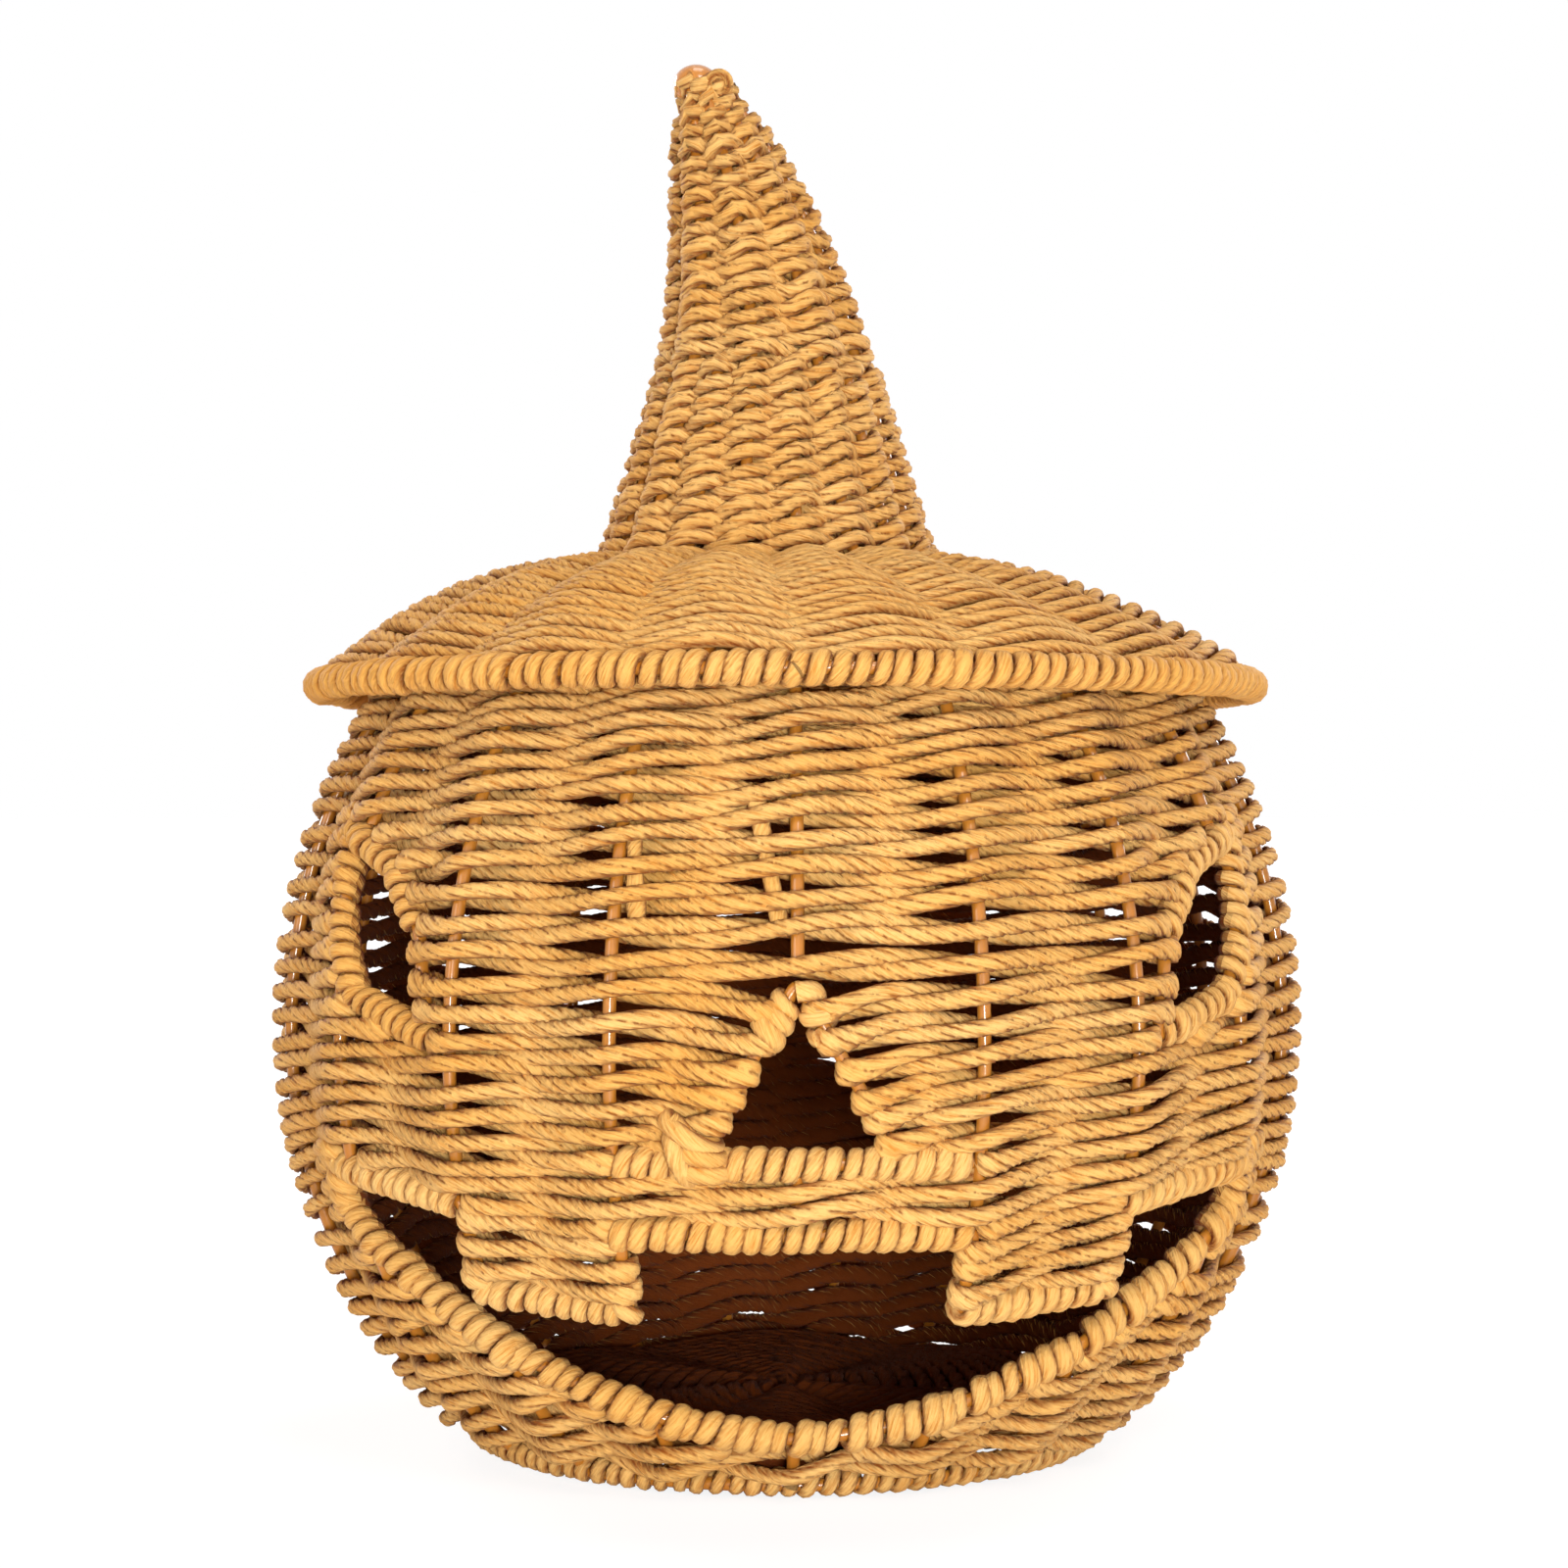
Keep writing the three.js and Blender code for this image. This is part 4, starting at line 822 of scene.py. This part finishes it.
TIP_RADIUS, TIP_HALF_HEIGHT, TIP_TOP = 5.8, 5.0, 343.4
CROWN_SHIFT, SHIFT_START, SHIFT_RISE = 4.5, 191.9, 22.3
PEAK_LEAN, LEAN_START, LEAN_POWER = 18.0, 41.0, 1.8
brim_ring_radius, brim_ring_height = ring_of("brim_ring_wire")


def leaned(points):
    """Shifts the crown off centre and bends the peak over, more and more towards the tip."""
    points = np.array(points, float)
    height = points[:, 2]
    crown = np.clip((height - SHIFT_START) / SHIFT_RISE, 0, 1)
    crown = crown * crown * (3 - 2 * crown)
    start = PEAK_BASE + LEAN_START
    share = np.clip((height - start) / (TIP_TOP - start), 0, None)
    points[:, 0] -= CROWN_SHIFT * crown + PEAK_LEAN * share ** LEAN_POWER
    return points


def on_brim(angle, radius, out=0.0):
    share = np.clip((radius - CROWN_RADIUS) / (BRIM_RADIUS - CROWN_RADIUS), 0.0, None)
    height = BRIM_HEIGHT + DOME_RISE * (1 - share ** DOME_POWER)
    slope = DOME_RISE * DOME_POWER * share ** (DOME_POWER - 1) / (BRIM_RADIUS - CROWN_RADIUS)
    size = np.hypot(slope, 1)
    return leaned(turned(angle, radius + out * slope / size, height + out / size))


def on_peak(angle, rise, out=0.0):
    radius = np.interp(rise, PEAK_RISES, PEAK_RADII)
    above, below = (np.interp(rise + step, PEAK_RISES, PEAK_RADII) for step in (2, -2))
    slope = (above - below) / 4
    size = np.hypot(slope, 1)
    return leaned(turned(angle, radius + out / size, PEAK_BASE + rise - out * slope / size))


crown_ring = path(leaned(turned(all_round, CROWN_RING_RADIUS, CROWN_RING_HEIGHT)), True)


def lid_wires(first_angle, top):
    wires = []
    for angle in first_angle + np.arange(0, 360, 720 / LID_WIRES):
        over_brim = on_brim(angle, np.arange(BRIM_RADIUS, BRIM_WIRE_END, -WIRE_STEP))
        wires.append(path(np.concatenate([over_brim, on_peak(angle, np.arange(0, top, WIRE_STEP))])))
    return wires


bend_wires("crown_frame_wires", [crown_ring] + lid_wires(LID_WIRE_ANGLE, SHORT_WIRE_TOP), "lid",
           "crown_frame")
bend_wires("peak_frame_wires", lid_wires(-LID_WIRE_ANGLE, LONG_WIRE_TOP), "lid", "peak_frame")
bead = bmesh.new()
bmesh.ops.create_uvsphere(bead, u_segments=36, v_segments=18, radius=MM)
bmesh.ops.scale(bead, vec=(TIP_RADIUS, TIP_RADIUS, TIP_HALF_HEIGHT), verts=bead.verts)
bead_side = leaned([[0.0, 0.0, TIP_TOP]])[0][0] * MM
bmesh.ops.translate(bead, vec=(bead_side, 0.0, (TIP_TOP - TIP_HALF_HEIGHT) * MM), verts=bead.verts)
bead_mesh = bpy.data.meshes.new("tip_bead")
bead.to_mesh(bead_mesh)
bead.free()
bead_mesh.polygons.foreach_set("use_smooth", [True] * len(bead_mesh.polygons))
bead_mesh.materials.append(steel)
tip_bead = add_object("tip_bead", bead_mesh)
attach(tip_bead, "lid")
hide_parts("peak_frame")
brim_ring = path(turned(all_round, brim_ring_radius, brim_ring_height), True)
bend_wires("brim_ring", [brim_ring], "lid", "brim_ring_wire")

# Lid weave. The brim is twined in rings parallel to its rim, packed tight, and the peak in rings up
# to the tip, where the cord ends in a small curl. The rim is bound turn against turn with cord whose
# colour is darkened as painted shade, to hold down the light it catches facing the front lamps.
BRIM_FIRST, BRIM_LAST, BRIM_ROWS, BRIM_CROSSING = 45.6, 111.2, 17, 1.2
PEAK_FIRST, PEAK_PITCH, PEAK_LAST, PEAK_CROSSING = -5.85, 4.35, 117.0, 1.5
PEAK_REACH = 0.45
CURL_AT, CURL_RADIUS, CURL_DEPTH = (-16.8, -6.0, 337.2), 2.5, 0.8
CURL_CORD, CURL_POINTS = 0.75, 25
RIM_PITCH, RIM_REACH, RIM_CORD, RIM_GROOVE_SHADE, RIM_PAINTED_SHADE = 4.5, 2.8, 1.02, 0.6, 0.3


def brim_place(radius):
    strayed = wander_of_row()

    def place(angle, out, lift):
        return on_brim(angle, radius - lift - strayed(angle), out)
    return place


def peak_place(rise):
    strayed = wander_of_row()

    def place(angle, out, lift):
        return on_peak(angle, rise + lift + strayed(angle), out)
    return place


brim_cords = []
for radius in np.linspace(BRIM_FIRST, BRIM_LAST, BRIM_ROWS):
    brim_cords += whole_course(brim_place(radius), 360 / LID_WIRES, LID_WIRES, radius,
                               rise=BRIM_CROSSING, start=LID_WIRE_ANGLE)
half = len(brim_cords) // 2
lay_cords("brim_weave_crown", brim_cords[:half], "lid", "brim_weave_top", "brim_weave_under")
lay_cords("brim_weave_rim", brim_cords[half:], "lid", "brim_weave_top", "brim_weave_under")
peak_cords = []
for rise in np.arange(PEAK_FIRST, PEAK_LAST, PEAK_PITCH):
    radius = float(np.interp(rise, PEAK_RISES, PEAK_RADII))
    wires = LID_WIRES if rise < SHORT_WIRE_TOP else LID_WIRES // 2
    reach = min(OUT_OF_RIB, PEAK_REACH * 2 * math.pi * radius / wires)
    peak_cords += whole_course(peak_place(rise), 360 / wires, wires, radius, reach, PEAK_CROSSING,
                               -LID_WIRE_ANGLE)
turn = np.linspace(0, 2 * math.pi, CURL_POINTS)[:-1]
curl = np.stack([CURL_AT[0] + CURL_RADIUS * np.cos(turn), CURL_AT[1] - CURL_DEPTH * np.sin(turn),
                 CURL_AT[2] + CURL_RADIUS * np.sin(turn)], 1)
peak_cords.append(cord(curl, (curl - CURL_AT) / CURL_RADIUS, True, girth=CURL_CORD))
lay_cords("peak_weave", peak_cords, "lid", "peak_weave_outer", "peak_weave_inner")
rim_turns = whip_ring(brim_ring_radius, brim_ring_height, RIM_PITCH, RIM_REACH, RIM_CORD)
# Painted shade: the rim's turns are darkened to hold down the light they catch from the front.
rim_turns["tone"] = rim_turns["tone"] - RIM_PAINTED_SHADE
lay_cords("rim_binding", [rim_turns], "lid", "brim_ring_wrap", waist=WHIP_WAIST, groove_shade_strength=RIM_GROOVE_SHADE)

# Stand. A plain white floor under soft studio lamps, two of them behind the basket. The camera
# looks straight ahead, level with the tops of the eyes.
CAMERA_DISTANCE, CAMERA_HEIGHT, CAMERA_TURN = 768.0, 156.5, -1.2
LENS_WIDTH, LENS, UPWARD_SHIFT, SIDE_SHIFT = 36.0, 70.0, 0.015, -0.001
BOARD_GLOW, BOARD_BRIGHTNESS = 0.75, 1.16
GLOW_START, GLOW_FULL = 250, 900
SHADE_STRENGTH = 0.16


def white_board():
    """Matte white board. Seen straight by the camera, part of its brightness is its own, and all of
    it further off, so that it has no horizon."""
    material, tree, shader = new_material("white studio board")
    shader.inputs["Base Color"].default_value = linear("#f4f4f4")
    shader.inputs["Roughness"].default_value = 0.9
    seen = add_node(tree, "ShaderNodeLightPath").outputs["Is Camera Ray"]
    bright = add_node(tree, "ShaderNodeEmission", {"Color": (1, 1, 1, 1),
                                                   "Strength": BOARD_BRIGHTNESS})
    place = add_node(tree, "ShaderNodeNewGeometry").outputs["Position"]
    away = combine(tree, "LENGTH", place, result="Value")
    share = calculate(tree, "MULTIPLY", seen, ramp(tree, away, GLOW_START * MM, GLOW_FULL * MM,
                                                   BOARD_GLOW))
    both = add_node(tree, "ShaderNodeMixShader", {0: share, 1: shader.outputs[0],
                                                  2: bright.outputs[0]})
    tree.links.new(both.outputs[0], tree.nodes["Material Output"].inputs["Surface"])
    return material


floor_mesh = bpy.data.meshes.new("studio_floor")
floor_mesh.from_pydata([(-9, -4, 0), (9, -4, 0), (9, 40, 0), (-9, 40, 0)], [], [(0, 1, 2, 3)])
floor_mesh.materials.append(white_board())
studio_floor = add_object("studio_floor", floor_mesh)

world = bpy.data.worlds.new("studio")
bpy.context.scene.world = world
world.use_nodes = True
sky = world.node_tree
background = sky.nodes["Background"]
eye = add_node(sky, "ShaderNodeLightPath")
direct = calculate(sky, "MAXIMUM", eye.outputs["Is Camera Ray"], eye.outputs["Is Glossy Ray"])
tint = blend(sky, direct, linear("#ff9c48"), linear("#ffffff"))
sky.links.new(tint, background.inputs["Color"])
sky.links.new(ramp(sky, direct, 0.0, 1.0, SHADE_STRENGTH), background.inputs["Strength"])


def lamp(name, place, aim, size, power):
    light = bpy.data.lights.new(name, "AREA")
    light.size = size
    light.energy = power
    holder = add_object(name, light)
    holder.location = place
    direction = np.array(aim) - np.array(place)
    holder.rotation_euler = (math.atan2(math.hypot(direction[0], direction[1]), -direction[2]), 0,
                             math.atan2(-direction[0], direction[1]))


lamp("key", (0.5, -1.2, 1.3), (0, 0, 0.15), 0.45, 8.2)
lamp("fill", (-1.2, -1.2, 0.6), (0, 0, 0.12), 0.7, 6.6)
lamp("low", (0.1, -1.1, 0.1), (0, 0, 0.04), 0.2, 8.4)
lamp("top", (0.1, 0.0, 1.6), (0, 0, 0.2), 0.6, 5.5)
lamp("behind left", (-1.0, 1.1, 0.7), (0, 0, 0.12), 0.7, 14.0)
lamp("behind right", (1.0, 1.1, 0.7), (0, 0, 0.12), 0.7, 14.0)

lens = bpy.data.cameras.new("camera")
lens.sensor_width = LENS_WIDTH
lens.lens = LENS
lens.shift_y = UPWARD_SHIFT
lens.shift_x = SIDE_SHIFT
camera = add_object("camera", lens)
camera.location = turned(CAMERA_TURN, CAMERA_DISTANCE, CAMERA_HEIGHT) * MM
camera.rotation_euler = (math.pi / 2, 0, math.radians(CAMERA_TURN))
bpy.context.scene.camera = camera
bpy.context.scene.view_settings.view_transform = "Standard"
